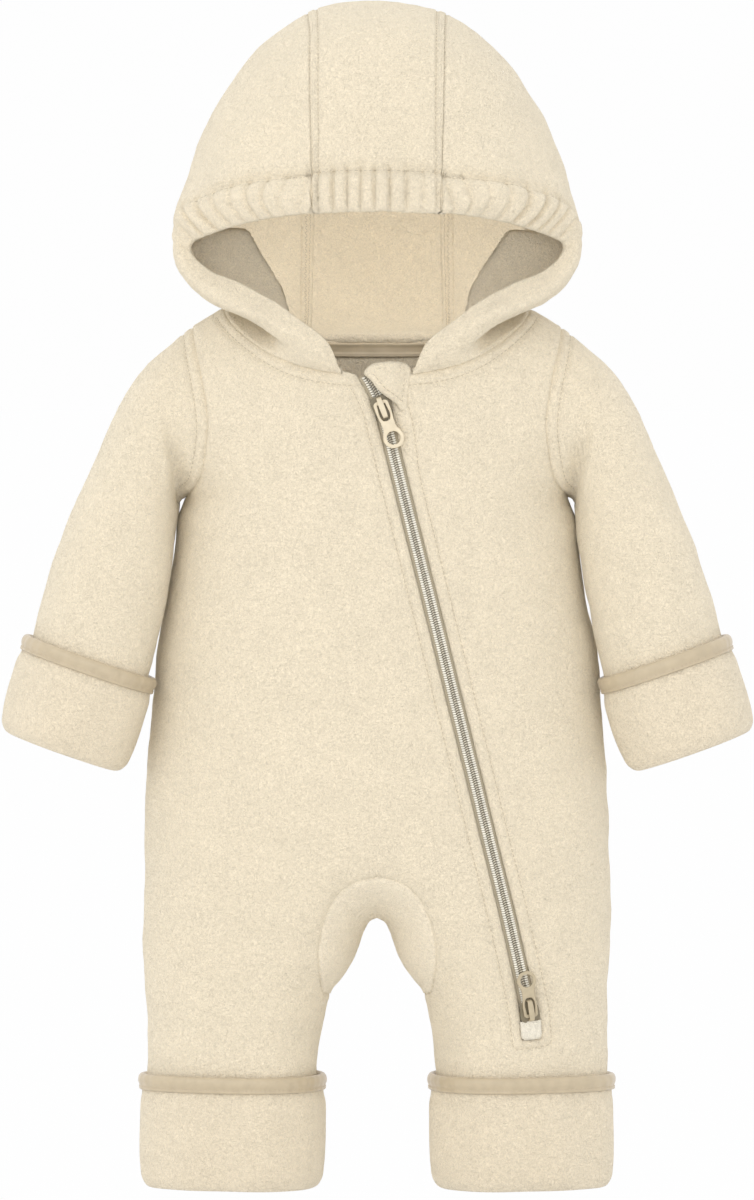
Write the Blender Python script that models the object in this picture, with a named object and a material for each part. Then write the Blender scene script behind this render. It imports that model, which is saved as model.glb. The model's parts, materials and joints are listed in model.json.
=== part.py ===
"""A hooded fleece pramsuit for a baby, filled out as if worn, with a slanted two-way zip.

Sizes below are millimetres. The origin is between the shoulder seams, +Z is up, the front faces -Y.
Each panel is a grid of points on its outer face. All panels are welded into one skin to find
its normals, then each is set back from its seams and given its thickness inwards.
"""

import bpy
import numpy as np
from mathutils import Vector, geometry

MM = 0.001
FLEECE = 2.2
SEAM_GAP = 0.3
# How far a panel's edge stays back from its seam, where more than half the gap.
SEAM_BACK = {"sleeve": 0.5, "hood": 0.6, "gusset": 0.3}
HEM_DEPTH = 16.0
HEM_EXTRA = 1.4
SATIN = 0.8
TAPE = 0.6
GRID = 25.0

# Body, a row for each height: half width, and depth of the front and of the back at the middle.
# Above the armpit the half width runs on into the sleeve head.
BODY_COLUMNS = ("z", "half_width", "front", "back")
BODY = (
    (-440, 132.5, 46, 46),
    (-412, 132.5, 46, 46),
    (-385, 133.2, 47, 49),
    (-340, 134.5, 51, 58),
    (-300, 134.5, 57, 67),
    (-250, 132.8, 60, 68),
    (-200, 129.0, 61, 64),
    (-178, 127.4, 61, 63),
    (-150, 122.1, 60, 61),
    (-115, 116.5, 59, 60),
    (-99, 114.2, 59, 60),
    (-88, 110.5, 59, 60),
    (-70, 119.0, 58, 59),
    (-50, 126.0, 58, 59),
    (-20, 130.0, 56, 57),
    (90, 130.0, 53, 54),
)
SIDE_POWER = 2.6
SHOULDER_X, SHOULDER_Z, SHOULDER_SLOPE, SHOULDER_ROUND = 108.0, 9.5, 0.6, 60.0
CROTCH_ROUND = 42.0
LEG_HEM = -433.3
LEG_BLEND = (-250.0, -345.0)
LEG_ROW_COUNT = 9
GUSSET_COUNT = 9
TAPE_DROP = 9.5
GIRTH = 100.0

# Outlines in the front view, half of each, as (x, z) from the centre line outwards.
LEG_GAP = (
    (0, -330.5), (4, -332.5), (7.3, -338), (10.5, -347), (14.5, -356.5), (20, -365.5),
    (25.5, -372), (28.6, -380), (30.5, -391), (32.5, -402), (34, -414), (34, -440),
)
GUSSET_SEAM = (
    (0, -304.5), (12, -307.3), (21, -314), (27.5, -324), (31.5, -337), (33.2, -351), (32.6, -363),
    (31, -372),
)
GUSSET_TIP_Z = -374.0
NECK_FRONT = (
    (0, -17), (20, -16.7), (36, -14.5), (52, -9.5), (66, -1.5), (77, 7), (85, 15), (88.5, 21.2),
)
NECK_BACK = ((0, 1.8), (20, 2), (42, 3.6), (60, 7.5), (74, 12.5), (84, 17.8), (88.5, 21.2))
ARMHOLE = (
    (107, 10.1), (104.8, -2), (102.1, -13.2), (98.6, -31), (97.2, -47), (98.5, -60.4), (102.8, -78.2),
    (110.5, -88),
)

# Sleeve rings from the armhole to the hem: outer and inner side in the front view, half depth.
SLEEVE_COLUMNS = ("outer_x", "outer_z", "inner_x", "inner_z", "half_depth", "middle_y")
SLEEVE = (
    (121.0, -2.0, 113.4, -89.7, 36.0, -2.0),
    (133.0, -12.5, 114.2, -95.0, 35.0, -6.0),
    (146.5, -31.0, 115.3, -104.0, 34.0, -10.5),
    (157.0, -54.0, 116.2, -115.0, 33.0, -14.0),
    (166.0, -75.0, 117.8, -128.0, 32.0, -16.5),
    (176.0, -98.0, 120.1, -142.0, 31.5, -18.5),
    (185.0, -121.0, 122.9, -156.0, 32.0, -20.0),
    (192.5, -145.0, 126.2, -172.0, 32.5, -21.0),
    (198.4, -168.4, 131.4, -191.9, 33.0, -21.5),
)
SLEEVE_WAY = (0.29, 0, -0.957)
HEM_TURN = 12.0

# Hood side panel, a row for each rib from the face edge to the far seam. The first column places
# the rib along the far seam: 0 front end of the neck seam, 1 back corner, 2 front end of the top
# seam. Then the rib's points: the face edge, the front of the hem, which is rolled outwards, and
# the back of the roll.
HOOD_EDGE_COLUMNS = ("place", "edge", "roll", "under")
HOOD_EDGE = (
    (0.00, (20, -55.6, -16.7), (20, -55.6, -16.7), (20, -55.6, -16.7)),
    (0.07, (27, -60.5, 0), (30.5, -61.8, -6), (31.5, -60.8, -9)),
    (0.136, (36, -61, 9), (41, -63, 3), (43, -61, -2)),
    (0.196, (46.2, -59.5, 16.3), (54, -62.5, 9.5), (56, -58, 4)),
    (0.27, (56, -56, 23.5), (67, -60, 15.5), (68.5, -52, 12)),
    (0.36, (67, -52, 30), (80.5, -55, 20.5), (82.5, -45, 18.5)),
    (0.45, (80, -46.5, 36.5), (93, -48.5, 27), (96, -38, 24.5)),
    (0.55, (93, -40.5, 41.5), (105, -41, 36.5), (108, -30, 34)),
    (0.66, (102, -36, 47.5), (112.5, -35, 47), (115, -25, 46)),
    (0.80, (107, -33.5, 54), (115, -32, 57), (116, -22, 57)),
    (1.00, (106.5, -35, 59), (115.2, -31, 66), (116, -20, 66)),
    (1.20, (101, -40, 62), (111.5, -37, 74), (112, -30, 76)),
    (1.40, (90, -49, 66), (102, -46, 81), (102, -40, 84)),
    (1.60, (76, -58, 70), (85, -58, 84), (85, -54, 90)),
    (1.80, (57, -67, 73.5), (62, -68.5, 85), (61, -66, 90)),
    (2.00, (36.5, -74.5, 76), (36.5, -74.5, 76), (36.5, -74.5, 76)),
)
# The fold at each side of the neck: its valley, and the fullness between valley and neck seam.
HOOD_FOLD_COLUMNS = ("place", "valley", "full")
HOOD_FOLD = (
    (0.00, (20, -55.6, -16.7), (20, -55.6, -16.7)),
    (0.07, (32, -59.5, -11), (32.5, -57.5, -13)),
    (0.136, (44, -59, -5), (44.3, -56.5, -9)),
    (0.196, (54, -53, 0), (53.5, -51.5, -4)),
    (0.27, (57, -40, 8), (61, -42, 1.5)),
    (0.36, (53, -25, 17), (68, -30, 9)),
    (0.45, (55, -14, 26.5), (74, -15, 17)),
    (0.55, (60, -8, 37), (80, 1, 25)),
    (0.66, (66, -9, 48), (92, 13, 33)),
    (0.80, (73.5, -11, 60), (101, 27, 42)),
    (1.00, (79, -15, 69), (107, 28, 56)),
    (1.25, (84, -25, 77), (106, 28, 78)),
)
# Above the fold the hood is a dome: its centre, half width, half depth, height and lower reach.
DOME_CENTRE = (0, 8, 55)
DOME_WIDTH, DOME_DEPTH, DOME_HEIGHT, DOME_BELOW = 107.5, 87.0, 146.5, 66.0
DOME_BLEND = (0.85, 1.45)
# Seam between the hood's side and centre panels, from the back neck over the crown to the face,
# and how far the centre panel stands out between its two seams.
HOOD_SEAM_COLUMNS = ("x", "y", "z", "crown")
HOOD_SEAM = (
    (42, 54, 3.6, 1.5),
    (42, 70, 13, 5),
    (42, 87, 42, 9),
    (41, 88.5, 92, 9),
    (39.5, 72, 145.5, 8.6),
    (38, 38, 184, 6.6),
    (38, 8, 192.8, 5.6),
    (37.5, -28, 180, 6),
    (37, -57, 141, 6.5),
    (36.5, -74.5, 76, 4.5),
)

# Zip: centre line of the chain in the front view, from the neck down.
ZIP = (
    (-8.2, -13.5), (-7.5, -15), (-4.9, -19), (-0.6, -27), (3.5, -37.4), (6.6, -50), (9.8, -63.3),
    (27.4, -133.7), (44.9, -204.1), (60, -265), (74.8, -325.5), (81.4, -353.6), (84.5, -368), (87.4, -383.5),
    (88.9, -398.5),
)
SLIT_HALF = 5.4
TAPE_HALF = 13.0
CHAIN_HALF = 3.2
TAPE_TOP_Z = -19.0
CHAIN_TOP_Z, CHAIN_END_Z = -19.5, -383.0
PATCH_TOP_Z, PATCH_END_Z = -389.5, -397.5
SLIDER_TOP_Z, SLIDER_BOTTOM_Z = -33.0, -384.0

# Fleece guard over the top of the zip, its outline in the front view.
GUARD = (
    (-7, -16), (-5, -12.8), (-2.5, -11.3), (4.6, -10), (11.5, -9.9), (16.6, -10.8), (18.6, -13),
    (18.3, -21), (17.4, -29.5), (16.2, -37), (14.6, -37.2), (11.6, -33.4), (8, -30.3), (4.2, -27.8),
    (0.6, -24.3), (-3.4, -19.2),
)
# How far the guard lies off the front at its right and at its left edge, and its thickness.
GUARD_LOW, GUARD_HIGH, GUARD_THICK = 0.5, 2.9, 2.4

# Colour, roughness and metallic value of each material.
MATERIALS = {
    "fleece": ((0.83, 0.74, 0.60), 0.95, 0.0),
    "satin": ((0.56, 0.48, 0.36), 0.5, 0.0),
    "zip_tape": ((0.49, 0.45, 0.37), 0.8, 0.0),
    "zip_coil": ((0.68, 0.65, 0.58), 0.35, 0.0),
    "metal": ((0.72, 0.64, 0.48), 0.3, 0.9),
}


# --- curves and tables ---------------------------------------------------------------------


def smooth(at, keys, values):
    """Smooth curve through the values at the keys, which rise; flat beyond both ends."""
    keys, values = np.asarray(keys, float), np.asarray(values, float)
    slopes = np.gradient(values, keys, axis=0)
    at = np.clip(at, keys[0], keys[-1])
    low = np.clip(np.searchsorted(keys, at) - 1, 0, len(keys) - 2)
    span = keys[low + 1] - keys[low]
    t = (at - keys[low]) / span
    if values.ndim > 1:
        t, span = t[..., None], span[..., None]
    rise = 3 * t**2 - 2 * t**3
    start = span * slopes[low] * (t**3 - 2 * t**2 + t)
    end = span * slopes[low + 1] * (t**3 - t**2)
    return values[low] * (1 - rise) + values[low + 1] * rise + start + end


def along(points, fractions):
    """Places along a smooth curve through the points, by share of its length."""
    points = np.asarray(points, float)
    steps = np.linalg.norm(np.diff(points, axis=0), axis=1)
    length = np.concatenate([[0], np.cumsum(steps)])
    return smooth(np.asarray(fractions) * length[-1], length, points)


def through(keys, steps):
    """Points on a smooth curve through the keys, with a set number of steps between each two."""
    keys = np.asarray(keys, float)
    length = np.concatenate([[0], np.cumsum(np.linalg.norm(np.diff(keys, axis=0), axis=1))])
    at = [length[i] + (length[i + 1] - length[i]) * np.arange(n) / n for i, n in enumerate(steps)]
    return smooth(np.append(np.concatenate(at), length[-1]), length, keys)


def length_of(points):
    return np.linalg.norm(np.diff(np.asarray(points, float), axis=0), axis=1).sum()


def column(table, columns, name):
    return np.array([row[columns.index(name)] for row in table], float)


BODY_Z = column(BODY, BODY_COLUMNS, "z")


def body(name, z):
    return smooth(z, BODY_Z, column(BODY, BODY_COLUMNS, name))


# --- body: the outline and depth of the front and back --------------------------------------

GAP_LINE = along(LEG_GAP, np.linspace(0, 1, 70))


def gap_half(z):
    """Half the gap between the legs at a height, 0 above it."""
    return np.interp(-np.asarray(z), -GAP_LINE[:, 1], GAP_LINE[:, 0], left=0.0)


def gap_distance(x, z):
    """Distance to the gap between the legs in the front view, negative inside it."""
    x, z = np.abs(x)[..., None], np.asarray(z)[..., None]
    start, step = GAP_LINE[:-1], np.diff(GAP_LINE, axis=0)
    share = (x - start[:, 0]) * step[:, 0] + (z - start[:, 1]) * step[:, 1]
    share = np.clip(share / (step**2).sum(1), 0, 1)
    away = x - start[:, 0] - share * step[:, 0], z - start[:, 1] - share * step[:, 1]
    distance = np.hypot(*away).min(-1)
    within = (x[..., 0] < gap_half(z[..., 0])) & (z[..., 0] < GAP_LINE[0, 1])
    return np.where(within, -distance, distance)


def rounded(distance, radius):
    share = np.minimum(distance / radius, 1)
    return share * (2 - share)


def shoulder_z(x):
    return SHOULDER_Z + (SHOULDER_X - np.abs(x)) * SHOULDER_SLOPE


def fullness(x, z):
    """Square of the share of full depth: 1 in the middle, 0 on the outline, less outside."""
    side = 1 - (np.abs(x) / body("half_width", z)) ** SIDE_POWER
    top = rounded((shoulder_z(x) - z) / np.hypot(1, SHOULDER_SLOPE), SHOULDER_ROUND)
    return side * top * rounded(gap_distance(x, z), CROTCH_ROUND)


def body_points(flat, face):
    """Points of the front (face -1) or back (face 1) from their x and z in the front view."""
    x, z = np.asarray(flat, float).T
    depth = body("front" if face < 0 else "back", z)
    return np.stack([x, face * depth * np.sqrt(np.maximum(fullness(x, z), 0)), z], 1)


def body_normals(flat, face):
    x, z = np.asarray(flat, float).T
    nudge = 0.5
    depth = body("front" if face < 0 else "back", z)
    across = (fullness(x + nudge, z) - fullness(x - nudge, z)) / (2 * nudge)
    upward = (fullness(x, z + nudge) - fullness(x, z - nudge)) / (2 * nudge)
    out = 2 * face * np.sqrt(np.maximum(fullness(x, z), 0)) / depth
    normals = np.stack([-across, out, -upward], 1)
    return normals / np.linalg.norm(normals, axis=1, keepdims=True)


# The front and back are filled with triangles in a plane where they are unrolled.


def leg_share(z):
    share = np.clip((z - LEG_BLEND[0]) / (LEG_BLEND[1] - LEG_BLEND[0]), 0, 1)
    return share * share * (3 - 2 * share)


def turn(share, z):
    """Angle round the body or leg, from its middle or inner side, at a share of its width."""
    share = np.clip(share, 0, 1)
    legs = leg_share(z)
    return (1 - legs) * np.arcsin(share) + legs * np.arccos(1 - 2 * share) / 2


def top_extra(x, z):
    """How much longer the cloth is than its height, where it rounds over to the shoulders."""
    depth = np.clip((shoulder_z(x) - z) / np.hypot(1, SHOULDER_SLOPE), 0, SHOULDER_ROUND)
    angle = np.arccos(1 - depth / SHOULDER_ROUND)
    return SHOULDER_ROUND * (np.pi / 2 - 1 - angle) + depth


def unroll(flat):
    x, z = np.asarray(flat, float).T
    inner = gap_half(z)
    share = (np.abs(x) - inner) / (body("half_width", z) - inner)
    across = np.where(x < 0, -1, 1) * (inner + GIRTH * turn(share, z))
    return np.stack([across, z + top_extra(x, z)], 1)


def solve(function, target, low, high):
    """Where a rising function of each point reaches its target."""
    for _ in range(40):
        middle = (low + high) / 2
        over = function(middle) > target
        low, high = np.where(over, low, middle), np.where(over, middle, high)
    return (low + high) / 2


def roll(plane):
    """The x and z in the front view of points in the unrolled plane."""
    across, up = plane.T
    count = len(across)
    z = up.copy()
    for _ in range(8):
        inner = gap_half(z)
        angle = np.clip((np.abs(across) - inner) / GIRTH, 0, np.pi / 2)
        share = solve(lambda s: turn(s, z), angle, np.zeros(count), np.ones(count))
        x = np.where(across < 0, -1, 1) * (inner + share * (body("half_width", z) - inner))
        z = solve(lambda at: at + top_extra(x, at), up, up - 40, up.copy())
    return np.stack([x, z], 1)


def inside(points, loop):
    """Which points of the plane lie inside a closed loop."""
    x, y = points.T[..., None]
    start, end = loop, np.roll(loop, -1, 0)
    spans = (start[:, 1] > y) != (end[:, 1] > y)
    rise = np.where(end[:, 1] == start[:, 1], 1, end[:, 1] - start[:, 1])
    cross = start[:, 0] + (y - start[:, 1]) / rise * (end[:, 0] - start[:, 0])
    return (spans & (x < cross)).sum(1) % 2 == 1


def clearance(points, loop):
    x, y = points.T[..., None]
    step = np.roll(loop, -1, 0) - loop
    share = ((x - loop[:, 0]) * step[:, 0] + (y - loop[:, 1]) * step[:, 1]) / (step**2).sum(1)
    share = np.clip(share, 0, 1)
    away = x - loop[:, 0] - share * step[:, 0], y - loop[:, 1] - share * step[:, 1]
    return np.hypot(*away).min(1)


def fill(loops, spacing, fixed=()):
    """Points and triangles inside the first loop and outside the others, evenly spread."""
    outer = loops[0]
    low, high = outer.min(0), outer.max(0)
    grid = []
    for row, z in enumerate(np.arange(low[1], high[1], spacing * 0.87)):
        first_x = low[0] + row % 2 * spacing / 2
        grid += [(x, z) for x in np.arange(first_x, high[0], spacing)]
    grid = np.array(grid)
    fixed = np.reshape(fixed, (-1, 2))
    keep = inside(grid, outer)
    for loop in loops:
        keep &= clearance(grid, loop) > 0.5 * spacing
    for loop in loops[1:]:
        keep &= ~inside(grid, loop)
    if len(fixed):
        keep &= np.linalg.norm(grid[:, None] - fixed[None], axis=2).min(1) > 0.6 * spacing
    points = np.concatenate([*loops, fixed, grid[keep]])
    edges, first = [], 0
    for loop in loops:
        edges += [(first + i, first + (i + 1) % len(loop)) for i in range(len(loop))]
        first += len(loop)
    made = geometry.delaunay_2d_cdt([Vector(p) for p in points], edges, [], 0, 1e-7)
    source = np.array([origins[0] for origins in made[3]])
    triangles = source[np.array([tuple(face) for face in made[2]])]
    middles = points[triangles].mean(1)
    keep = inside(middles, outer)
    for loop in loops[1:]:
        keep &= ~inside(middles, loop)
    return points, triangles[keep]


# --- shared seams, each a list of points that the pieces on both sides use ------------------


def eased(count, power):
    """Shares from 0 to 1, closer together towards 1, where a seam turns over the outline."""
    return 1 - (1 - np.linspace(0, 1, count)) ** power


def neck_front():
    """Front neck seam from where the hood starts to the shoulder."""
    start = length_of(NECK_FRONT[:2]) / length_of(NECK_FRONT)
    return along(NECK_FRONT, start + (1 - start) * eased(10, 2))


def neck_back():
    """Back neck seam from the middle to the hood's seam, and on to the shoulder."""
    corner = length_of(NECK_BACK[:3]) / length_of(NECK_BACK)
    middle = along(NECK_BACK, np.linspace(0, corner, 4))
    return middle, along(NECK_BACK, corner + (1 - corner) * eased(6, 2))


def armhole():
    return along(ARMHOLE, (1 - np.cos(np.linspace(0, np.pi, 9))) / 2)


def shoulder():
    x = np.linspace(NECK_FRONT[-1][0], ARMHOLE[0][0], 3)
    return np.stack([x, shoulder_z(x)], 1)


def side_seam():
    z = np.append(np.linspace(ARMHOLE[-1][1], LEG_HEM + HEM_TURN, 16), LEG_HEM)
    return np.stack([body("half_width", z), z], 1)


def leg_row(z):
    """A row across the leg at a height, from its outer side to its inner side."""
    inner, outer = gap_half(z), body("half_width", z)
    x = (inner + outer) / 2 + (outer - inner) / 2 * np.cos(np.linspace(0, np.pi, LEG_ROW_COUNT))
    return np.stack([x, np.full(LEG_ROW_COUNT, z)], 1)


def gusset_rows():
    """Gap edge and gusset seam in the front view, from the middle down to the gusset's tip."""
    share = np.linspace(0, 1, GUSSET_COUNT)
    tip = np.interp(-GUSSET_TIP_Z, -GAP_LINE[:, 1], np.arange(len(GAP_LINE)))
    steps = np.linalg.norm(np.diff(GAP_LINE, axis=0), axis=1)
    length = np.concatenate([[0], np.cumsum(steps)])
    at = share * np.interp(tip, np.arange(len(length)), length)
    edge = np.stack([np.interp(at, length, values) for values in GAP_LINE.T], 1)
    return edge, along(GUSSET_SEAM, share)


GUSSET_SHARES = np.linspace(0, 1, 4) ** 2


def gusset_tip():
    """The gusset's short lower end, from the inner leg edge to its seam."""
    edge, seam = gusset_rows()
    return edge[-1] + (seam[-1] - edge[-1]) * GUSSET_SHARES[:, None]


def inseam():
    z = np.concatenate([[LEG_HEM], np.linspace(LEG_HEM + HEM_TURN, gusset_tip()[0, 1], 4)])
    return np.stack([gap_half(z), z], 1)


def mirror(points):
    """The same points on the other side, in the front view or in space."""
    return np.asarray(points, float) * ([-1] + [1] * (np.shape(points)[-1] - 1))


def lower_half():
    """One side of a panel, from the shoulder end of the neck seam to the top of the gusset."""
    seam = gusset_rows()[1]
    runs = [shoulder(), armhole(), side_seam(), leg_row(LEG_HEM), inseam(), gusset_tip()]
    runs.append(seam[::-1])
    return np.concatenate([runs[0]] + [run[1:] for run in runs[1:]])


ZIP_DENSE = along(ZIP, np.linspace(0, 1, 400))
ZIP_STEPS = np.gradient(ZIP_DENSE, axis=0)
ZIP_RUN = ZIP_STEPS / np.linalg.norm(ZIP_STEPS, axis=1, keepdims=True)


def zip_stations(top_z, end_z):
    """Heights along the zip that every piece on it shares, closer where the zip bends."""
    top, middle, end = np.linspace(-21, -61, 5), np.linspace(-61, -325, 11), np.linspace(-325, -397, 5)
    heights = np.concatenate([top, middle[1:], end[1:]])
    between = heights[(heights < top_z - 2) & (heights > end_z + 2)]
    return np.concatenate([[top_z], between, [end_z]])


def beside_zip(heights, offset):
    """Points in the front view at the heights of the zip's line, moved sideways from it."""
    place = [np.interp(-heights, -ZIP_DENSE[:, 1], values) for values in (*ZIP_DENSE.T, *ZIP_RUN.T)]
    return np.stack([place[0] - offset * place[3], place[1] + offset * place[2]], 1)


def below_neck(points):
    """The part of a line down the front that lies below the neck seam, starting on the seam."""
    neck = along(NECK_FRONT, np.linspace(0, 1, 200))
    above = points[:, 1] - np.interp(np.abs(points[:, 0]), neck[:, 0], neck[:, 1])
    first = np.argmax(above < 0)
    share = above[first - 1] / (above[first - 1] - above[first])
    start = points[first - 1] + share * (points[first] - points[first - 1])
    rest = points[first:]
    return np.concatenate([[start], rest[rest[:, 1] < start[1] - 4]])


def slit_edge(side, offset=SLIT_HALF):
    """One edge of the zip's slit, or a line beside it, from the neck seam down."""
    return below_neck(beside_zip(zip_stations(ZIP[0][1], ZIP[-1][1]), side * offset))


def front_outline():
    left, right = slit_edge(-1), slit_edge(1)
    half = np.concatenate([neck_front()[:-1], lower_half()])
    return np.concatenate([left, right[::-1], half, mirror(half)[::-1][1:]])


def back_outline():
    middle, side = neck_back()
    half = np.concatenate([middle[1:-1], side[:-1], lower_half()])
    return np.concatenate([middle[:1], half, mirror(half)[::-1][1:]])


def neck_tape_line():
    """Stations of the tape inside the back neck seam, from the wearer's right to left."""
    middle, side = neck_back()
    half = np.concatenate([middle[1:], side[1:4]])
    return np.concatenate([mirror(half)[::-1], middle[:1], half])


def fixed_points(face):
    """Points that a panel shares with the trims that lie on it."""
    row = leg_row(LEG_HEM + HEM_TURN)[1:-1]
    if face < 0:
        trims = [slit_edge(-1, TAPE_HALF + 1)[1:], slit_edge(1, TAPE_HALF + 1)[1:]]
    else:
        trims = [neck_tape_line() - [0, TAPE_DROP]]
    return np.concatenate([row, mirror(row), *trims])


def body_panel(outline, face):
    fixed = fixed_points(face)
    points, triangles = fill([unroll(outline)], GRID, unroll(fixed))
    known = len(outline) + len(fixed)
    flat = np.concatenate([outline, fixed, roll(points[known:])])
    return body_points(flat, face), triangles if face < 0 else triangles[:, ::-1]


# --- grids ----------------------------------------------------------------------------------


def grid_triangles(rows, columns, closed=False):
    """Triangles of a grid of points, in rows; closed joins the last column to the first."""
    triangles = []
    for i in range(rows - 1):
        for j in range(columns if closed else columns - 1):
            a, b = i * columns + j, i * columns + (j + 1) % columns
            c, d = a + columns, b + columns
            triangles += [(a, b, d), (a, d, c)]
    return np.array(triangles)


def gusset():
    edge, seam = gusset_rows()
    edge = np.concatenate([mirror(edge)[::-1], edge[1:]])
    seam = np.concatenate([mirror(seam)[::-1], seam[1:]])
    rows = []
    for face, shares in ((-1, GUSSET_SHARES[::-1]), (1, GUSSET_SHARES[1:])):
        rows += [body_points(edge + (seam - edge) * share, face) for share in shares]
    points = np.concatenate(rows)
    return points, grid_triangles(len(rows), len(edge))[:, ::-1]


def sleeve_rings(side):
    """Rings of the right or left sleeve, each from its outer side round the front."""
    flat = armhole()
    front, back = body_points(flat, -1), body_points(flat, 1)
    rings = [np.concatenate([front, back[::-1][1:-1]])]
    angle = np.arange(len(rings[0])) / len(rings[0]) * 2 * np.pi
    for outer_x, outer_z, inner_x, inner_z, half_depth, middle_y in SLEEVE:
        middle = np.array([(outer_x + inner_x) / 2, middle_y, (outer_z + inner_z) / 2])
        reach = np.array([(outer_x - inner_x) / 2, 0, (outer_z - inner_z) / 2])
        depth = np.array([0, half_depth, 0])
        rings.append(middle + np.cos(angle)[:, None] * reach - np.sin(angle)[:, None] * depth)
    rings.append(rings[-1] + HEM_TURN * np.array(SLEEVE_WAY))
    rings = np.array(rings)
    return mirror(rings) if side < 0 else rings


def sleeve(side):
    rings = sleeve_rings(side)
    triangles = grid_triangles(len(rings), rings.shape[1], closed=True)
    return rings.reshape(-1, 3), triangles[:, ::-1] if side < 0 else triangles


def hood_seam(count):
    """Points of the hood's long seam on the wearer's left, and the centre panel's crown there."""
    rows = np.array(HOOD_SEAM, float)
    rows[0, :3] = body_points(neck_back()[1][:1], 1)[0]
    dense = along(rows[:, :3], np.linspace(0, 1, count))
    steps = np.linalg.norm(np.diff(rows[:, :3], axis=0), axis=1)
    length = np.concatenate([[0], np.cumsum(steps)])
    return dense, smooth(np.linspace(0, length[-1], count), length, rows[:, 3])


HOOD_SEAM_COUNT = 15
# Steps along a rib of the side panel, between the points of the hood tables.
FOLD_STEPS = (2, 2, 3, 2, 2)
HOOD_ROWS = sum(FOLD_STEPS) + 1


def hood_far_seam():
    """The far seam of the side panel and each point's place along it, as in the hood tables."""
    front, back = body_points(neck_front(), -1), body_points(neck_back()[1], 1)
    neck = np.concatenate([front, back[::-1][1:]])
    steps = np.linalg.norm(np.diff(neck, axis=0), axis=1)
    neck_place = np.concatenate([[0], np.cumsum(steps)]) / steps.sum()
    seam = hood_seam(HOOD_SEAM_COUNT)[0]
    seam_place = 1 + np.linspace(0, 1, HOOD_SEAM_COUNT)
    return np.concatenate([neck, seam[1:]]), np.concatenate([neck_place, seam_place[1:]])


def hood_point(table, columns, name, place):
    return smooth(place, column(table, columns, "place"), [row[columns.index(name)] for row in table])


def on_dome(points):
    """The points moved straight out from the dome's centre onto it."""
    away = np.asarray(points, float) - DOME_CENTRE
    height = np.where(away[:, 2] < 0, DOME_BELOW, DOME_HEIGHT)
    reach = np.stack([np.full(len(away), DOME_WIDTH), np.full(len(away), DOME_DEPTH), height], 1)
    return DOME_CENTRE + away / np.linalg.norm(away / reach, axis=1, keepdims=True)


def dome_path(start, end, count):
    """A line over the dome between two points near it."""
    share = np.linspace(0, 1, count)[:, None]
    ends = np.array([start, end], float)
    offsets = ends - on_dome(ends)
    away = ends - DOME_CENTRE
    away /= np.linalg.norm(away, axis=1, keepdims=True)
    angle = np.arccos(np.clip(away[0] @ away[1], -1, 1))
    between = np.sin((1 - share) * angle) * away[0] + np.sin(share * angle) * away[1]
    dome = on_dome(DOME_CENTRE + between / np.sin(angle))
    return dome + (1 - share) ** 2 * offsets[0] + share**2 * offsets[1]


def hood_side(side):
    far, place = hood_far_seam()
    edge = hood_point(HOOD_EDGE, HOOD_EDGE_COLUMNS, "edge", place)
    roll_out = hood_point(HOOD_EDGE, HOOD_EDGE_COLUMNS, "roll", place)
    under = hood_point(HOOD_EDGE, HOOD_EDGE_COLUMNS, "under", place)
    valley = hood_point(HOOD_FOLD, HOOD_FOLD_COLUMNS, "valley", place)
    full = hood_point(HOOD_FOLD, HOOD_FOLD_COLUMNS, "full", place)
    blend = np.clip((place - DOME_BLEND[0]) / (DOME_BLEND[1] - DOME_BLEND[0]), 0, 1)
    blend = blend * blend * (3 - 2 * blend)
    ribs = [np.repeat(far[:1], HOOD_ROWS, 0)]
    for i in range(1, len(place) - 1):
        folded = through([edge[i], roll_out[i], under[i], valley[i], full[i], far[i]], FOLD_STEPS)
        dome = dome_path(roll_out[i], far[i], HOOD_ROWS - FOLD_STEPS[0])
        domed = through(np.concatenate([[edge[i]], dome]), (FOLD_STEPS[0], *[1] * (len(dome) - 1)))
        ribs.append(folded + blend[i] * (domed - folded))
    ribs.append(np.repeat(far[-1:], HOOD_ROWS, 0))
    points = np.concatenate(ribs)
    triangles = grid_triangles(len(ribs), HOOD_ROWS)
    if side < 0:
        return mirror(points), triangles[:, ::-1]
    return points, triangles


def hood_centre():
    """Centre panel: rows from the back neck seam over the crown to the face edge."""
    seam, crown = hood_seam(HOOD_SEAM_COUNT)
    middle = body_points(neck_back()[0], 1)
    across = middle[:, 0] / middle[-1, 0]
    across = np.concatenate([-across[::-1], across[1:]])
    run = np.gradient(seam[:, 1:], axis=0)
    run /= np.linalg.norm(run, axis=1, keepdims=True)
    outward = np.stack([-run[:, 1], run[:, 0]], 1)
    rows = []
    for point, lift, out in zip(seam, crown, -outward):
        row = np.empty((len(across), 3))
        row[:, 0] = across * point[0]
        row[:, 1:] = point[1:] + out * (lift * (1 - across**2))[:, None]
        rows.append(row)
    rows[0] = np.concatenate([mirror(middle)[::-1], middle[1:]])
    return np.concatenate(rows), grid_triangles(len(rows), len(across))[:, ::-1]


# --- the skin: welded panels, their normals and their thickness -----------------------------


def weld(points, triangles):
    """Joins points that share a place, and drops triangles that close up."""
    _, first, index = np.unique(np.round(points, 4), axis=0, return_index=True, return_inverse=True)
    index = index.reshape(-1)
    triangles = index[triangles]
    open_ones = (triangles != np.roll(triangles, 1, 1)).all(1)
    return points[first], triangles[open_ones]


def vertex_normals(points, triangles):
    corners = points[triangles]
    faces = np.cross(corners[:, 1] - corners[:, 0], corners[:, 2] - corners[:, 0])
    normals = np.zeros_like(points)
    for corner in range(3):
        np.add.at(normals, triangles[:, corner], faces)
    return normals / np.maximum(np.linalg.norm(normals, axis=1, keepdims=True), 1e-9)


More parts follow.
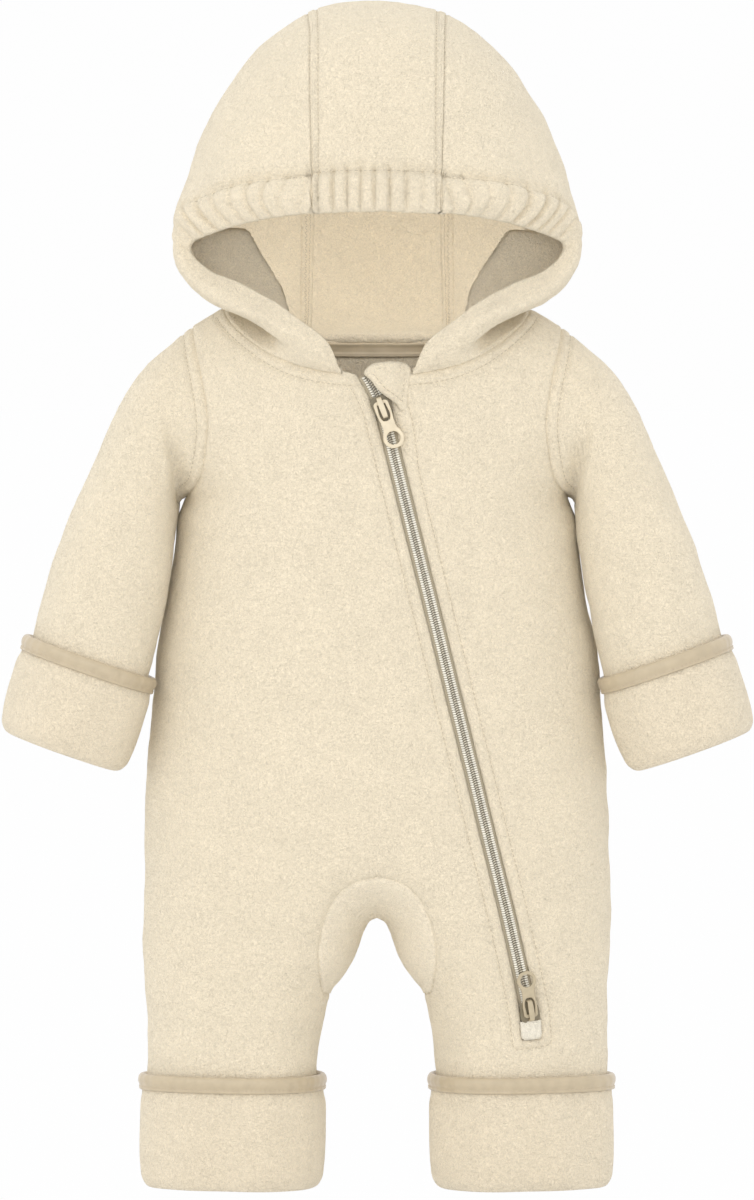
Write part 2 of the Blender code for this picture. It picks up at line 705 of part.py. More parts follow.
def skin_normals(panels):
    """Normals for each panel's points; where panels meet, the mean of their own normals."""
    points = np.concatenate([panel[0] for panel in panels.values()])
    own = np.concatenate([vertex_normals(*panel) for panel in panels.values()])
    counts = np.cumsum([0] + [len(panel[0]) for panel in panels.values()])
    _, index = np.unique(np.round(points, 3), axis=0, return_inverse=True)
    index = index.reshape(-1)
    shared = np.zeros((index.max() + 1, 3))
    np.add.at(shared, index, own)
    normals = shared[index]
    normals /= np.linalg.norm(normals, axis=1, keepdims=True)
    return {name: normals[counts[i] : counts[i + 1]] for i, name in enumerate(panels)}


def rim_edges(triangles):
    """Edges that only one triangle has, in that triangle's direction."""
    edges = np.concatenate([triangles[:, [0, 1]], triangles[:, [1, 2]], triangles[:, [2, 0]]])
    pairs = {tuple(edge) for edge in edges}
    return np.array([edge for edge in edges if (edge[1], edge[0]) not in pairs])


def set_back(points, normals, rim, distance):
    """Points with those on the rim moved into the panel, along its surface."""
    run = points[rim[:, 1]] - points[rim[:, 0]]
    run /= np.linalg.norm(run, axis=1, keepdims=True)
    inward = np.zeros_like(points)
    for end in range(2):
        np.add.at(inward, rim[:, end], np.cross(normals[rim[:, end]], run))
    size = np.linalg.norm(inward, axis=1, keepdims=True)
    return points + np.where(size > 0, distance * inward / np.maximum(size, 1e-9), 0)


def cloth_solid(points, triangles, normals, thickness, gap):
    """A closed wall: the outer face, the inner face and the edge between them."""
    rim = rim_edges(triangles)
    outer = set_back(points, normals, rim, gap)
    inner = outer - normals * np.reshape(thickness, (-1, 1))
    count = len(points)
    a, b = rim.T
    walls = np.concatenate([np.stack([a, a + count, b + count], 1), np.stack([a, b + count, b], 1)])
    faces = np.concatenate([triangles, triangles[:, ::-1] + count, walls])
    used = np.unique(faces)
    place = np.zeros(2 * count, int)
    place[used] = np.arange(len(used))
    return np.concatenate([outer, inner])[used], place[faces]


def ring_solid(section, normals, profile, away):
    """A profile of (offset out, distance along) swept round a closed section."""
    profile = np.asarray(profile, float)
    out, down = profile[:, 0, None, None], profile[:, 1, None, None]
    points = section[None] + out * normals[None] + down * away
    count, around = len(profile), len(section)
    triangles = grid_triangles(count + 1, around, closed=True) % (count * around)
    return points.reshape(-1, 3), triangles


# --- cuffs and bindings ---------------------------------------------------------------------

BAND_HEIGHT = 9.0
CUFF_STAND = 1.4
LEG_CUFF, SLEEVE_CUFF = 64.5, 56.0
CUFF_OUT = CUFF_STAND + FLEECE
# Profile of a turned-back cuff, wall and all: how far it stands out from the sleeve or leg, and
# how far it is from the cuff's edge, as a share of its height.
CUFF_PROFILE = (
    (CUFF_OUT, 0.0), (CUFF_OUT, 0.82), (CUFF_OUT - 1.6, 0.94), (-2.0, 1.0), (-6.4, 0.98), (-6.0, 0.90),
    (-FLEECE, 0.76), (-FLEECE, 0.25), (0.0, 0.25), (0.0, 0.77), (-3.0, 0.93), (CUFF_STAND - 0.4, 0.84),
    (CUFF_STAND, 0.0),
)
CUFF_INNER_ROWS = (7, 8)


def cuff_profile(height):
    """The cuff's closed profile; its inner layer starts where the sleeve or leg ends."""
    rows = [[out, share * height] for out, share in CUFF_PROFILE]
    for index in CUFF_INNER_ROWS:
        rows[index][1] = HEM_TURN + SEAM_GAP
    return rows


def binding_profile():
    """The binding folded over the cuff's edge, as a channel open downwards."""
    inner, outer = CUFF_STAND - SEAM_GAP, CUFF_STAND + FLEECE + SEAM_GAP
    lip = 0.5
    return (
        (inner - lip, BAND_HEIGHT), (inner - lip, -0.8), (outer - 0.4, -1.4), (outer + SATIN, 0.4),
        (outer + SATIN + 0.3, BAND_HEIGHT - 1.5), (outer, BAND_HEIGHT), (outer, -SEAM_GAP),
        (inner, -SEAM_GAP), (inner, BAND_HEIGHT),
    )


def leg_section(side):
    """The leg's ring where its cuff starts, and the outward normals there."""
    flat = leg_row(LEG_HEM + HEM_TURN)
    ring = np.concatenate([body_points(flat, -1), body_points(flat, 1)[::-1][1:-1]])
    normals = ring_normals(ring, np.array([0, 0, -1.0]))
    return (mirror(ring), mirror(normals)) if side < 0 else (ring, normals)


def sleeve_section(side):
    """The sleeve's ring where its cuff starts, the outward normals there, and the way it points."""
    ring = sleeve_rings(1)[-2]
    away = np.array(SLEEVE_WAY)
    normals = ring_normals(ring, away)
    return (mirror(ring), mirror(normals), mirror(away[None])[0]) if side < 0 else (ring, normals, away)


def ring_normals(ring, away):
    """Outward normals of a tube's ring, square to the way the tube runs."""
    run = np.roll(ring, -1, 0) - np.roll(ring, 1, 0)
    normals = np.cross(run, away)
    normals /= np.linalg.norm(normals, axis=1, keepdims=True)
    outward = np.einsum("ij,ij->i", normals, ring - ring.mean(0)).sum()
    return normals * np.sign(outward)


# --- making the objects ---------------------------------------------------------------------


def clear_scene():
    for thing in list(bpy.data.objects):
        bpy.data.objects.remove(thing, do_unlink=True)


def material(name, slot):
    colour, roughness, metallic = MATERIALS[slot]
    made = bpy.data.materials.new(name)
    made.use_nodes = True
    shader = made.node_tree.nodes["Principled BSDF"]
    shader.inputs["Base Color"].default_value = (*colour, 1)
    shader.inputs["Roughness"].default_value = roughness
    shader.inputs["Metallic"].default_value = metallic
    return made


def add_object(name, slot, points, triangles, origin=(0, 0, 0)):
    """A mesh object in metres, with its own material, its origin at the given place."""
    origin = np.asarray(origin, float)
    mesh = bpy.data.meshes.new(name)
    mesh.from_pydata(((np.asarray(points) - origin) * MM).tolist(), [], np.asarray(triangles).tolist())
    mesh.shade_smooth()
    mesh.set_sharp_from_angle(angle=0.9)
    thing = bpy.data.objects.new(name, mesh)
    thing.location = origin * MM
    bpy.context.collection.objects.link(thing)
    thing.data.materials.append(material(name, slot))
    return thing


def make_panels():
    """Every fleece panel of the body, sleeves and hood."""
    panels = {
        "front": body_panel(front_outline(), -1),
        "back": body_panel(back_outline(), 1),
        "gusset": gusset(),
        "sleeve_left": sleeve(1),
        "sleeve_right": sleeve(-1),
        "hood_centre": hood_centre(),
        "hood_side_left": hood_side(1),
        "hood_side_right": hood_side(-1),
    }
    panels = {name: weld(*panel) for name, panel in panels.items()}
    normals = skin_normals(panels)
    edge = hood_edge_line()
    for name, (points, triangles) in panels.items():
        thickness = np.full(len(points), FLEECE)
        if name.startswith("hood"):
            distance = np.linalg.norm(points[:, None] - edge[None], axis=2).min(1)
            thickness += HEM_EXTRA * np.clip((HEM_DEPTH - distance) / 4, 0, 1)
        gap = SEAM_BACK.get(name.split("_")[0], SEAM_GAP / 2)
        add_object(name, "fleece", *cloth_solid(points, triangles, normals[name], thickness, gap))


def hood_edge_line():
    """The hood's face edge, all the way round, for its hem."""
    edge = hood_point(HOOD_EDGE, HOOD_EDGE_COLUMNS, "edge", np.linspace(0, 2, 120))
    across = np.linspace(edge[-1, 0], -edge[-1, 0], 20)
    top = np.stack([across, np.full(20, edge[-1, 1] - 3), np.full(20, edge[-1, 2])], 1)
    return np.concatenate([edge, mirror(edge), top])


def make_cuffs():
    for side, word in ((1, "left"), (-1, "right")):
        ring, normals = leg_section(side)
        add_cuff("leg", word, ring, normals, np.array([0, 0, -1.0]), LEG_CUFF)
        ring, normals, away = sleeve_section(side)
        add_cuff("sleeve", word, ring, normals, away, SLEEVE_CUFF)


def add_cuff(kind, word, ring, normals, away, height):
    cuff = ring_solid(ring, normals, cuff_profile(height), away)
    binding = ring_solid(ring, normals, binding_profile(), away)
    add_object(f"{kind}_cuff_{word}", "fleece", *facing_out(cuff))
    add_object(f"{kind}_binding_{word}", "satin", *facing_out(binding))


def facing_out(solid):
    points, triangles = solid
    corners = points[triangles] - points.mean(0)
    if np.einsum("ij,ij->i", corners[:, 0], np.cross(corners[:, 1], corners[:, 2])).sum() < 0:
        triangles = triangles[:, ::-1]
    return points, triangles


def ribbon(heights, offsets, low, high):
    """A strip on the front beside the zip's line: sideways offsets, and its lower and upper face."""
    flat = np.stack([beside_zip(heights, offset) for offset in offsets], 1).reshape(-1, 2)
    normals = body_normals(flat, -1)
    points = body_points(flat, -1) + normals * high
    triangles = grid_triangles(len(heights), len(offsets))
    return facing_out(cloth_solid(points, triangles, normals, high - low, gap=0))


def make_zip():
    tape_top, tape_low = -FLEECE - SEAM_GAP, -FLEECE - SEAM_GAP - TAPE
    heights = zip_stations(TAPE_TOP_Z, ZIP[-1][1])
    for side, word in ((1, "left"), (-1, "right")):
        strip = ribbon(heights, (side * 0.3, side * SLIT_HALF, side * TAPE_HALF), tape_low, tape_top)
        add_object(f"zip_tape_{word}", "zip_tape", *strip)
    heights = zip_stations(CHAIN_TOP_Z, CHAIN_END_Z)
    chain = ribbon(heights, (-CHAIN_HALF, 0, CHAIN_HALF), tape_top + SEAM_GAP, 0.2)
    add_object("zip_chain", "zip_coil", *chain)
    heights = zip_stations(PATCH_TOP_Z, PATCH_END_Z)
    patch = ribbon(heights, (0.4 - SLIT_HALF, 0, SLIT_HALF - 0.4), tape_top + SEAM_GAP, -0.4)
    add_object("zip_end_patch", "fleece", *patch)


def make_neck_tape():
    """Tape over the back neck seam, on the inside of the back panel."""
    line = neck_tape_line()
    flat = np.stack([line - [0, 1.0], line - [0, TAPE_DROP]], 1).reshape(-1, 2)
    normals = body_normals(flat, 1)
    points = body_points(flat, 1) - normals * (FLEECE + SEAM_GAP)
    solid = cloth_solid(points, grid_triangles(len(line), 2), normals, SATIN, gap=0)
    add_object("neck_tape", "satin", *facing_out(solid))


def make_guard():
    """The fleece flap over the top of the zip, lying on the front and over the slider."""
    points, triangles = fill([np.array(GUARD, float)], 6.0)
    normals = body_normals(points, -1)
    lift = GUARD_LOW + (GUARD_HIGH - GUARD_LOW) * np.clip((15 - points[:, 0]) / 8, 0, 1)
    outer = body_points(points, -1) + normals * (lift + GUARD_THICK)[:, None]
    solid = cloth_solid(outer, triangles, normals, GUARD_THICK, gap=0)
    add_object("zip_guard", "fleece", *facing_out(solid))


# --- sliders and pull tabs, made flat and laid on the front ---------------------------------

# Slider: width and length of its plate, how high it stands, its bridge.
PLATE_WIDTH, PLATE_LENGTH = 11.4, 14.0
PLATE_LOW, PLATE_TOP = 0.7, 1.8
FLANGE_LOW = -2.1
BRIDGE_WIDTH, BRIDGE_START, BRIDGE_END, BRIDGE_TOP, BRIDGE_BAR = 3.8, -3.2, 9.0, 5.5, 1.1
PIVOT_HEIGHT = 3.05
PULL_THICK = 1.3
# Pull tab outlines, from the pivot: (half width, distance) down one side.
PULL_SIDE = (
    (0, -1.1), (3.4, -1.1), (4.7, -0.2), (4.9, 4), (4.7, 9), (4.2, 13), (4.3, 16), (5.2, 18.4), (6.0, 21.4),
    (5.2, 24.4), (3.0, 26.6), (0, 27.4),
)
PULL_SLOT = ((2.7, 1.05), (2.9, 2.0), (2.9, 10.4), (2.0, 11.6), (0, 12.0), (0, 1.05))
PULL_HOLE, PULL_HOLE_AT = 3.9, 21.4
LOWER_PULL_SCALE = 0.95


def slider_frame(z):
    """Place, and sideways, outward and downward ways, on the front at a height of the zip."""
    line = beside_zip(np.array([z + 4, z, z - 4]), 0)
    place = body_points(line, -1)
    down = place[2] - place[0]
    down /= np.linalg.norm(down)
    out = body_normals(line[1:2], -1)[0]
    side = np.cross(out, down)
    side /= np.linalg.norm(side)
    return place[1], side, np.cross(down, side), down


def laid(frame, local):
    """World points from (sideways, outward, downward) ones."""
    place, side, out, down = frame
    local = np.asarray(local, float)
    return place + local[:, :1] * side + local[:, 1:2] * out + local[:, 2:] * down


def box_mesh(low, high):
    """Corners and triangles of a box in the slider's own ways."""
    ends = list(zip(low, high))
    corners = np.array([(x, y, z) for x in ends[0] for y in ends[1] for z in ends[2]])
    quads = ((0, 1, 3, 2), (4, 6, 7, 5), (0, 4, 5, 1), (2, 3, 7, 6), (0, 2, 6, 4), (1, 5, 7, 3))
    return corners, [(q[0], q[i], q[i + 1]) for q in quads for i in (1, 2)]


def add_slider(name, z, flip):
    """Plate over the chain with a flange each side and a bridge for the pull tab."""
    frame = slider_frame(z)
    half, length = PLATE_WIDTH / 2, PLATE_LENGTH
    ways = np.array([1, 1, flip])
    outline = [(-half + 1.5, -4), (half - 1.5, -4), (half, -2), (half, 4)]
    outline += [(2.9, length - 4), (-2.9, length - 4), (-half, 4), (-half, -2)]
    plate = [(x, y, z_at) for y in (PLATE_LOW, PLATE_TOP) for x, z_at in outline]
    count = len(outline)
    faces = [tuple(range(count)), tuple(range(2 * count - 1, count - 1, -1))]
    faces += [(i, i + count, (i + 1) % count + count, (i + 1) % count) for i in range(count)]
    parts = [(np.array(plate), faces)]
    for side in (-1, 1):
        low = (min(side * 3.6, side * 5.0), FLANGE_LOW, -2)
        high = (max(side * 3.6, side * 5.0), PLATE_TOP - 0.4, 4)
        parts.append(box_mesh(low, high))
    width = BRIDGE_WIDTH / 2
    bars = (
        ((-width, PLATE_LOW + 0.2, BRIDGE_START), (width, BRIDGE_TOP, BRIDGE_START + BRIDGE_BAR)),
        ((-width, PLATE_LOW + 0.2, BRIDGE_END - BRIDGE_BAR), (width, BRIDGE_TOP, BRIDGE_END)),
        ((-width, BRIDGE_TOP - BRIDGE_BAR, BRIDGE_START), (width, BRIDGE_TOP, BRIDGE_END)),
    )
    parts += [box_mesh(low, high) for low, high in bars]
    pieces = []
    for index, (points, faces) in enumerate(parts):
        mesh = bpy.data.meshes.new(f"{name}_{index}")
        mesh.from_pydata((laid(frame, points * ways) * MM).tolist(), [], faces)
        piece = bpy.data.objects.new(name if index == 0 else f"{name}_{index}", mesh)
        bpy.context.collection.objects.link(piece)
        face_outwards(mesh)
        pieces.append(piece)
    for piece in pieces[1:]:
        piece.hide_render = True
        piece.display_type = "WIRE"
        union = pieces[0].modifiers.new(piece.name, "BOOLEAN")
        union.operation = "UNION"
        union.object = piece
    pieces[0].data.materials.append(material(name, "metal"))


def face_outwards(mesh):
    """Turns a convex mesh's faces outwards."""
    middle = sum((v.co for v in mesh.vertices), Vector()) / len(mesh.vertices)
    if sum((face.center - middle).dot(face.normal) for face in mesh.polygons) < 0:
        mesh.flip_normals()


def add_pull(name, z, flip, scale):
    """Flat tab with a slot round the bridge and a round hole, its origin on the pivot."""
    frame = slider_frame(z)
    right = np.array(PULL_SIDE, float) * scale
    slot = np.array(PULL_SLOT, float) * [1, scale]
    outline = np.concatenate([right, mirror(right)[::-1][1:-1]])
    window = np.concatenate([slot[:5], mirror(slot[:4])[::-1]])
    angle = np.arange(20) / 20 * 2 * np.pi
    hole = np.stack([PULL_HOLE * np.cos(angle), PULL_HOLE * np.sin(angle) + PULL_HOLE_AT], 1) * scale
    points, triangles = fill([outline, window, hole], 40.0)
    top = np.full(len(points), PIVOT_HEIGHT + PULL_THICK / 2)
    outer = laid(frame, np.stack([points[:, 0], top, points[:, 1] * flip], 1))
    normals = np.repeat(frame[2][None], len(points), 0)
    solid = facing_out(cloth_solid(outer, triangles, normals, PULL_THICK, gap=0))
    pivot = laid(frame, [(0, PIVOT_HEIGHT, 0)])[0]
    add_object(name, "metal", *solid, origin=pivot)


def main():
    clear_scene()
    make_panels()
    make_cuffs()
    make_neck_tape()
    make_zip()
    make_guard()
    add_slider("slider_top", SLIDER_TOP_Z, 1)
    add_slider("slider_bottom", SLIDER_BOTTOM_Z, -1)
    add_pull("pull_top", SLIDER_TOP_Z, 1, 1.0)
    add_pull("pull_bottom", SLIDER_BOTTOM_Z, -1, LOWER_PULL_SCALE)


main()
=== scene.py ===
"""The fleece pramsuit's looks: fine cloth panels with seams, stitching, gathers and nap, a coil zip
with its sliders, satin bindings, and the photograph's view and light.

Sizes are millimetres unless a name ends in _m. The origin is between the shoulder seams, +Z is up,
the front faces -Y. Every panel follows the same curves as its CAD solid, sampled finely.
"""

import json

import bmesh
import bpy
import numpy as np
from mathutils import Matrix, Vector, geometry, kdtree

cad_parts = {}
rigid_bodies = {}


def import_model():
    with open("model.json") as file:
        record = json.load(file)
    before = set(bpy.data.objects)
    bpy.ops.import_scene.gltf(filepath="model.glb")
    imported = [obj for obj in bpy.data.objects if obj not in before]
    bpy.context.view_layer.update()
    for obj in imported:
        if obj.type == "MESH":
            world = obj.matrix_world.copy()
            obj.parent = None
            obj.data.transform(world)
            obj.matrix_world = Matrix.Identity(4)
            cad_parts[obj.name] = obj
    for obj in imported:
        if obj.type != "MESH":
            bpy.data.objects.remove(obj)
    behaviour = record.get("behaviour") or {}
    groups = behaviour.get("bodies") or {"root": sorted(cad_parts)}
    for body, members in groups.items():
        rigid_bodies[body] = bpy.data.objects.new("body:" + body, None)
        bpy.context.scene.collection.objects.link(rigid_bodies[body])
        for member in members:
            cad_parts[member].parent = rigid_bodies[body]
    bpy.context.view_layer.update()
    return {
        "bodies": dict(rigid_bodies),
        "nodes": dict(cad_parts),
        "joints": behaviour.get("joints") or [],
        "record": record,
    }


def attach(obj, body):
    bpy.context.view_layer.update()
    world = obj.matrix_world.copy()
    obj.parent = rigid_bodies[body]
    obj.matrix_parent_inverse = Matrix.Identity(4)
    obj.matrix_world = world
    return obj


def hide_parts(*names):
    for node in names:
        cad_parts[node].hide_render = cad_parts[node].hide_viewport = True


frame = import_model()

MM = 0.001
FLEECE = 2.2
HEM_DEPTH = 16.0
HEM_EXTRA = 1.4
SPACING = 3.3
RIM_ROWS = ((1.3, 0.28), (3.0, 0.03))
RIM_DEPTH = 1.1
RIM_ROUND = 0.7
GROOVE = 0.8

# Body, a row for each height: half width, and depth of the front and of the back at the middle.
# Above the armpit the half width runs on into the sleeve head.
BODY_COLUMNS = ("z", "half_width", "front", "back")
BODY = (
    (-440, 132.5, 46, 46),
    (-412, 132.5, 46, 46),
    (-385, 133.2, 47, 49),
    (-340, 134.5, 51, 58),
    (-300, 134.5, 57, 67),
    (-250, 132.8, 60, 68),
    (-200, 129.0, 61, 64),
    (-178, 127.4, 61, 63),
    (-150, 122.1, 60, 61),
    (-115, 116.5, 59, 60),
    (-99, 114.2, 59, 60),
    (-88, 110.5, 59, 60),
    (-70, 119.0, 58, 59),
    (-50, 126.0, 58, 59),
    (-20, 130.0, 56, 57),
    (90, 130.0, 53, 54),
)
SIDE_POWER = 2.6
SHOULDER_X, SHOULDER_Z, SHOULDER_SLOPE, SHOULDER_ROUND = 108.0, 9.5, 0.6, 60.0
CROTCH_ROUND = 42.0
LEG_HEM = -433.3
LEG_BLEND = (-250.0, -345.0)
GIRTH = 100.0

# Outlines in the front view, half of each, as (x, z) from the centre line outwards.
LEG_GAP = (
    (0, -330.5), (4, -332.5), (7.3, -338), (10.5, -347), (14.5, -356.5), (20, -365.5),
    (25.5, -372), (28.6, -380), (30.5, -391), (32.5, -402), (34, -414), (34, -440),
)
GUSSET_SEAM = (
    (0, -304.5), (12, -307.3), (21, -314), (27.5, -324), (31.5, -337), (33.2, -351), (32.6, -363),
    (31, -372),
)
GUSSET_TIP_Z = -374.0
NECK_FRONT = (
    (0, -17), (20, -16.7), (36, -14.5), (52, -9.5), (66, -1.5), (77, 7), (85, 15), (88.5, 21.2),
)
NECK_BACK = ((0, 1.8), (20, 2), (42, 3.6), (60, 7.5), (74, 12.5), (84, 17.8), (88.5, 21.2))
ARMHOLE = (
    (107, 10.1), (104.8, -2), (102.1, -13.2), (98.6, -31), (97.2, -47), (98.5, -60.4), (102.8, -78.2),
    (110.5, -88),
)

# Sleeve rings from the armhole to the hem: x and z of the outer side and of the inner side, half
# depth, y of the middle.
SLEEVE = (
    (121.0, -2.0, 113.4, -89.7, 36.0, -2.0),
    (133.0, -12.5, 114.2, -95.0, 35.0, -6.0),
    (146.5, -31.0, 115.3, -104.0, 34.0, -10.5),
    (157.0, -54.0, 116.2, -115.0, 33.0, -14.0),
    (166.0, -75.0, 117.8, -128.0, 32.0, -16.5),
    (176.0, -98.0, 120.1, -142.0, 31.5, -18.5),
    (185.0, -121.0, 122.9, -156.0, 32.0, -20.0),
    (192.5, -145.0, 126.2, -172.0, 32.5, -21.0),
    (198.4, -168.4, 131.4, -191.9, 33.0, -21.5),
)
SLEEVE_WAY = (0.29, 0, -0.957)
HEM_TURN = 12.0

# Hood side panel, a row for each rib from the face edge to the far seam. The first column places
# the rib along the far seam: 0 front end of the neck seam, 1 back corner, 2 front end of the top
# seam. Then the rib's points: the face edge, the front of the hem, which is rolled outwards, and
# the back of the roll.
HOOD_EDGE = (
    (0.00, (20, -55.6, -16.7), (20, -55.6, -16.7), (20, -55.6, -16.7)),
    (0.07, (27, -60.5, 0), (30.5, -61.8, -6), (31.5, -60.8, -9)),
    (0.136, (36, -61, 9), (41, -63, 3), (43, -61, -2)),
    (0.196, (46.2, -59.5, 16.3), (54, -62.5, 9.5), (56, -58, 4)),
    (0.27, (56, -56, 23.5), (67, -60, 15.5), (68.5, -52, 12)),
    (0.36, (67, -52, 30), (80.5, -55, 20.5), (82.5, -45, 18.5)),
    (0.45, (80, -46.5, 36.5), (93, -48.5, 27), (96, -38, 24.5)),
    (0.55, (93, -40.5, 41.5), (105, -41, 36.5), (108, -30, 34)),
    (0.66, (102, -36, 47.5), (112.5, -35, 47), (115, -25, 46)),
    (0.80, (107, -33.5, 54), (115, -32, 57), (116, -22, 57)),
    (1.00, (106.5, -35, 59), (115.2, -31, 66), (116, -20, 66)),
    (1.20, (101, -40, 62), (111.5, -37, 74), (112, -30, 76)),
    (1.40, (90, -49, 66), (102, -46, 81), (102, -40, 84)),
    (1.60, (76, -58, 70), (85, -58, 84), (85, -54, 90)),
    (1.80, (57, -67, 73.5), (62, -68.5, 85), (61, -66, 90)),
    (2.00, (36.5, -74.5, 76), (36.5, -74.5, 76), (36.5, -74.5, 76)),
)
# The fold at each side of the neck: its valley, and the fullness between valley and neck seam.
HOOD_FOLD = (
    (0.00, (20, -55.6, -16.7), (20, -55.6, -16.7)),
    (0.07, (32, -59.5, -11), (32.5, -57.5, -13)),
    (0.136, (44, -59, -5), (44.3, -56.5, -9)),
    (0.196, (54, -53, 0), (53.5, -51.5, -4)),
    (0.27, (57, -40, 8), (61, -42, 1.5)),
    (0.36, (53, -25, 17), (68, -30, 9)),
    (0.45, (55, -14, 26.5), (74, -15, 17)),
    (0.55, (60, -8, 37), (80, 1, 25)),
    (0.66, (66, -9, 48), (92, 13, 33)),
    (0.80, (73.5, -11, 60), (101, 27, 42)),
    (1.00, (79, -15, 69), (107, 28, 56)),
    (1.25, (84, -25, 77), (106, 28, 78)),
)
# Above the fold the hood is a dome: its centre, half width, half depth, height and lower reach.
DOME_CENTRE = (0, 8, 55)
DOME_WIDTH, DOME_DEPTH, DOME_HEIGHT, DOME_BELOW = 107.5, 87.0, 146.5, 66.0
DOME_BLEND = (0.85, 1.45)
# Seam between the hood's side and centre panels, from the back neck over the crown to the face,
# and, last in each row, how far the centre panel stands out between its two seams.
HOOD_SEAM = (
    (42, 54, 3.6, 1.5),
    (42, 70, 13, 5),
    (42, 87, 42, 9),
    (41, 88.5, 92, 9),
    (39.5, 72, 145.5, 8.6),
    (38, 38, 184, 6.6),
    (38, 8, 192.8, 5.6),
    (37.5, -28, 180, 6),
    (37, -57, 141, 6.5),
    (36.5, -74.5, 76, 4.5),
)

# Zip: centre line of the chain in the front view, from the neck down.
ZIP = (
    (-8.2, -13.5), (-7.5, -15), (-4.9, -19), (-0.6, -27), (3.5, -37.4), (6.6, -50), (9.8, -63.3),
    (27.4, -133.7), (44.9, -204.1), (60, -265), (74.8, -325.5), (81.4, -353.6), (84.5, -368), (87.4, -383.5),
    (88.9, -398.5),
)
SLIT_HALF = 5.4
TAPE_HALF = 13.0
CHAIN_HALF = 3.2
TAPE_TOP_Z = -16.5
CHAIN_TOP_Z, CHAIN_END_Z = -17.0, -383.0
PATCH_TOP_Z, PATCH_END_Z = -389.5, -397.5
SLIDER_TOP_Z, SLIDER_BOTTOM_Z = -33.0, -384.0

# Fleece guard over the top of the zip, its outline in the front view.
GUARD = (
    (-7, -16), (-5, -12.8), (-2.5, -11.3), (4.6, -10), (11.5, -9.9), (16.6, -10.8), (18.6, -13),
    (18.3, -21), (17.4, -29.5), (16.2, -37), (14.6, -37.2), (11.6, -33.4), (8, -30.3), (4.2, -27.8),
    (0.6, -24.3), (-3.4, -19.2),
)

ZIP_STITCH = 11.4
NECK_STITCH = 5.8
ARMHOLE_STITCH = 6.5
CASING = 23.0
HOOD_BAND = 3.75
BAND_SEAM_DEPTH, BAND_GROOVE = 0.2, 1.0


# --- curves and tables ---------------------------------------------------------------------


def smooth(at, keys, values):
    """Smooth curve through the values at the keys, which rise; flat beyond both ends."""
    keys, values = np.asarray(keys, float), np.asarray(values, float)
    slopes = np.gradient(values, keys, axis=0)
    at = np.clip(at, keys[0], keys[-1])
    low = np.clip(np.searchsorted(keys, at) - 1, 0, len(keys) - 2)
    span = keys[low + 1] - keys[low]
    t = (at - keys[low]) / span
    if values.ndim > 1:
        t, span = t[..., None], span[..., None]
    rise = 3 * t**2 - 2 * t**3
    start = span * slopes[low] * (t**3 - 2 * t**2 + t)
    end = span * slopes[low + 1] * (t**3 - t**2)
    return values[low] * (1 - rise) + values[low + 1] * rise + start + end


def run_length(points):
    """Distance along a line of points, 0 at its first."""
    steps = np.linalg.norm(np.diff(np.asarray(points, float), axis=0), axis=1)
    return np.concatenate([[0], np.cumsum(steps)])


def read_at(places, length, values):
    """Rows of values read at places between the known ones at length."""
    return np.stack([np.interp(places, length, known) for known in np.asarray(values, float).T], 1)


def along(points, fractions):
    """Places along a smooth curve through the points, by share of its length."""
    length = run_length(points)
    return smooth(np.asarray(fractions) * length[-1], length, points)


def through(keys, steps):
    """Points on a smooth curve through the keys, with a set number of steps between each two."""
    length = run_length(keys)
    at = [length[i] + (length[i + 1] - length[i]) * np.arange(n) / n for i, n in enumerate(steps)]
    return smooth(np.append(np.concatenate(at), length[-1]), length, keys)


def unit(vectors):
    return vectors / np.maximum(np.linalg.norm(vectors, axis=-1, keepdims=True), 1e-9)


def left_of(run):
    """Unit ways to the left of runs in the plane."""
    run = unit(run)
    return np.stack([-run[:, 1], run[:, 0]], 1)


def ease(share):
    """From 0 to 1, level at both ends."""
    share = np.clip(share, 0, 1)
    return share * share * (3 - 2 * share)


def column(table, columns, name):
    return np.array([row[columns.index(name)] for row in table], float)


BODY_Z = column(BODY, BODY_COLUMNS, "z")


def body(name, z):
    return smooth(z, BODY_Z, column(BODY, BODY_COLUMNS, name))


def mirror(points):
    """The same points on the other side, in the front view or in space."""
    return np.asarray(points, float) * ([-1] + [1] * (np.shape(points)[-1] - 1))


def both_sides(half):
    """A line that crosses the middle, from its half that starts there."""
    return np.concatenate([mirror(half)[::-1], half[1:]])


def resampled(points, spacing):
    """Even places along a polyline, ends kept."""
    length = run_length(points)
    return read_at(np.linspace(0, length[-1], max(2, int(round(length[-1] / spacing)) + 1)), length, points)


# --- body: the outline and depth of the front and back --------------------------------------

GAP_LINE = along(LEG_GAP, np.linspace(0, 1, 160))


def gap_half(z):
    """Half the gap between the legs at a height, 0 above it."""
    return np.interp(-np.asarray(z), -GAP_LINE[:, 1], GAP_LINE[:, 0], left=0.0)


def to_lines(points, starts, ends):
    """Distance in the plane from each point to the nearest of some straight lines."""
    distance = np.full(len(points), 1e6)
    for start, end in zip(starts, ends):
        step, away = end - start, points - start
        share = np.clip(away @ step / max(step @ step, 1e-9), 0, 1)
        distance = np.minimum(distance, np.hypot(*(away - share[:, None] * step).T))
    return distance


def gap_distance(x, z):
    """Distance to the gap between the legs in the front view, negative inside it."""
    x, z = np.abs(x), np.asarray(z)
    distance = to_lines(np.stack([x, z], 1), GAP_LINE[:-1:2], GAP_LINE[2::2])
    within = (x < gap_half(z)) & (z < GAP_LINE[0, 1])
    return np.where(within, -distance, distance)


def rounded(distance, radius):
    share = np.minimum(distance / radius, 1)
    return share * (2 - share)


def shoulder_z(x):
    return SHOULDER_Z + (SHOULDER_X - np.abs(x)) * SHOULDER_SLOPE


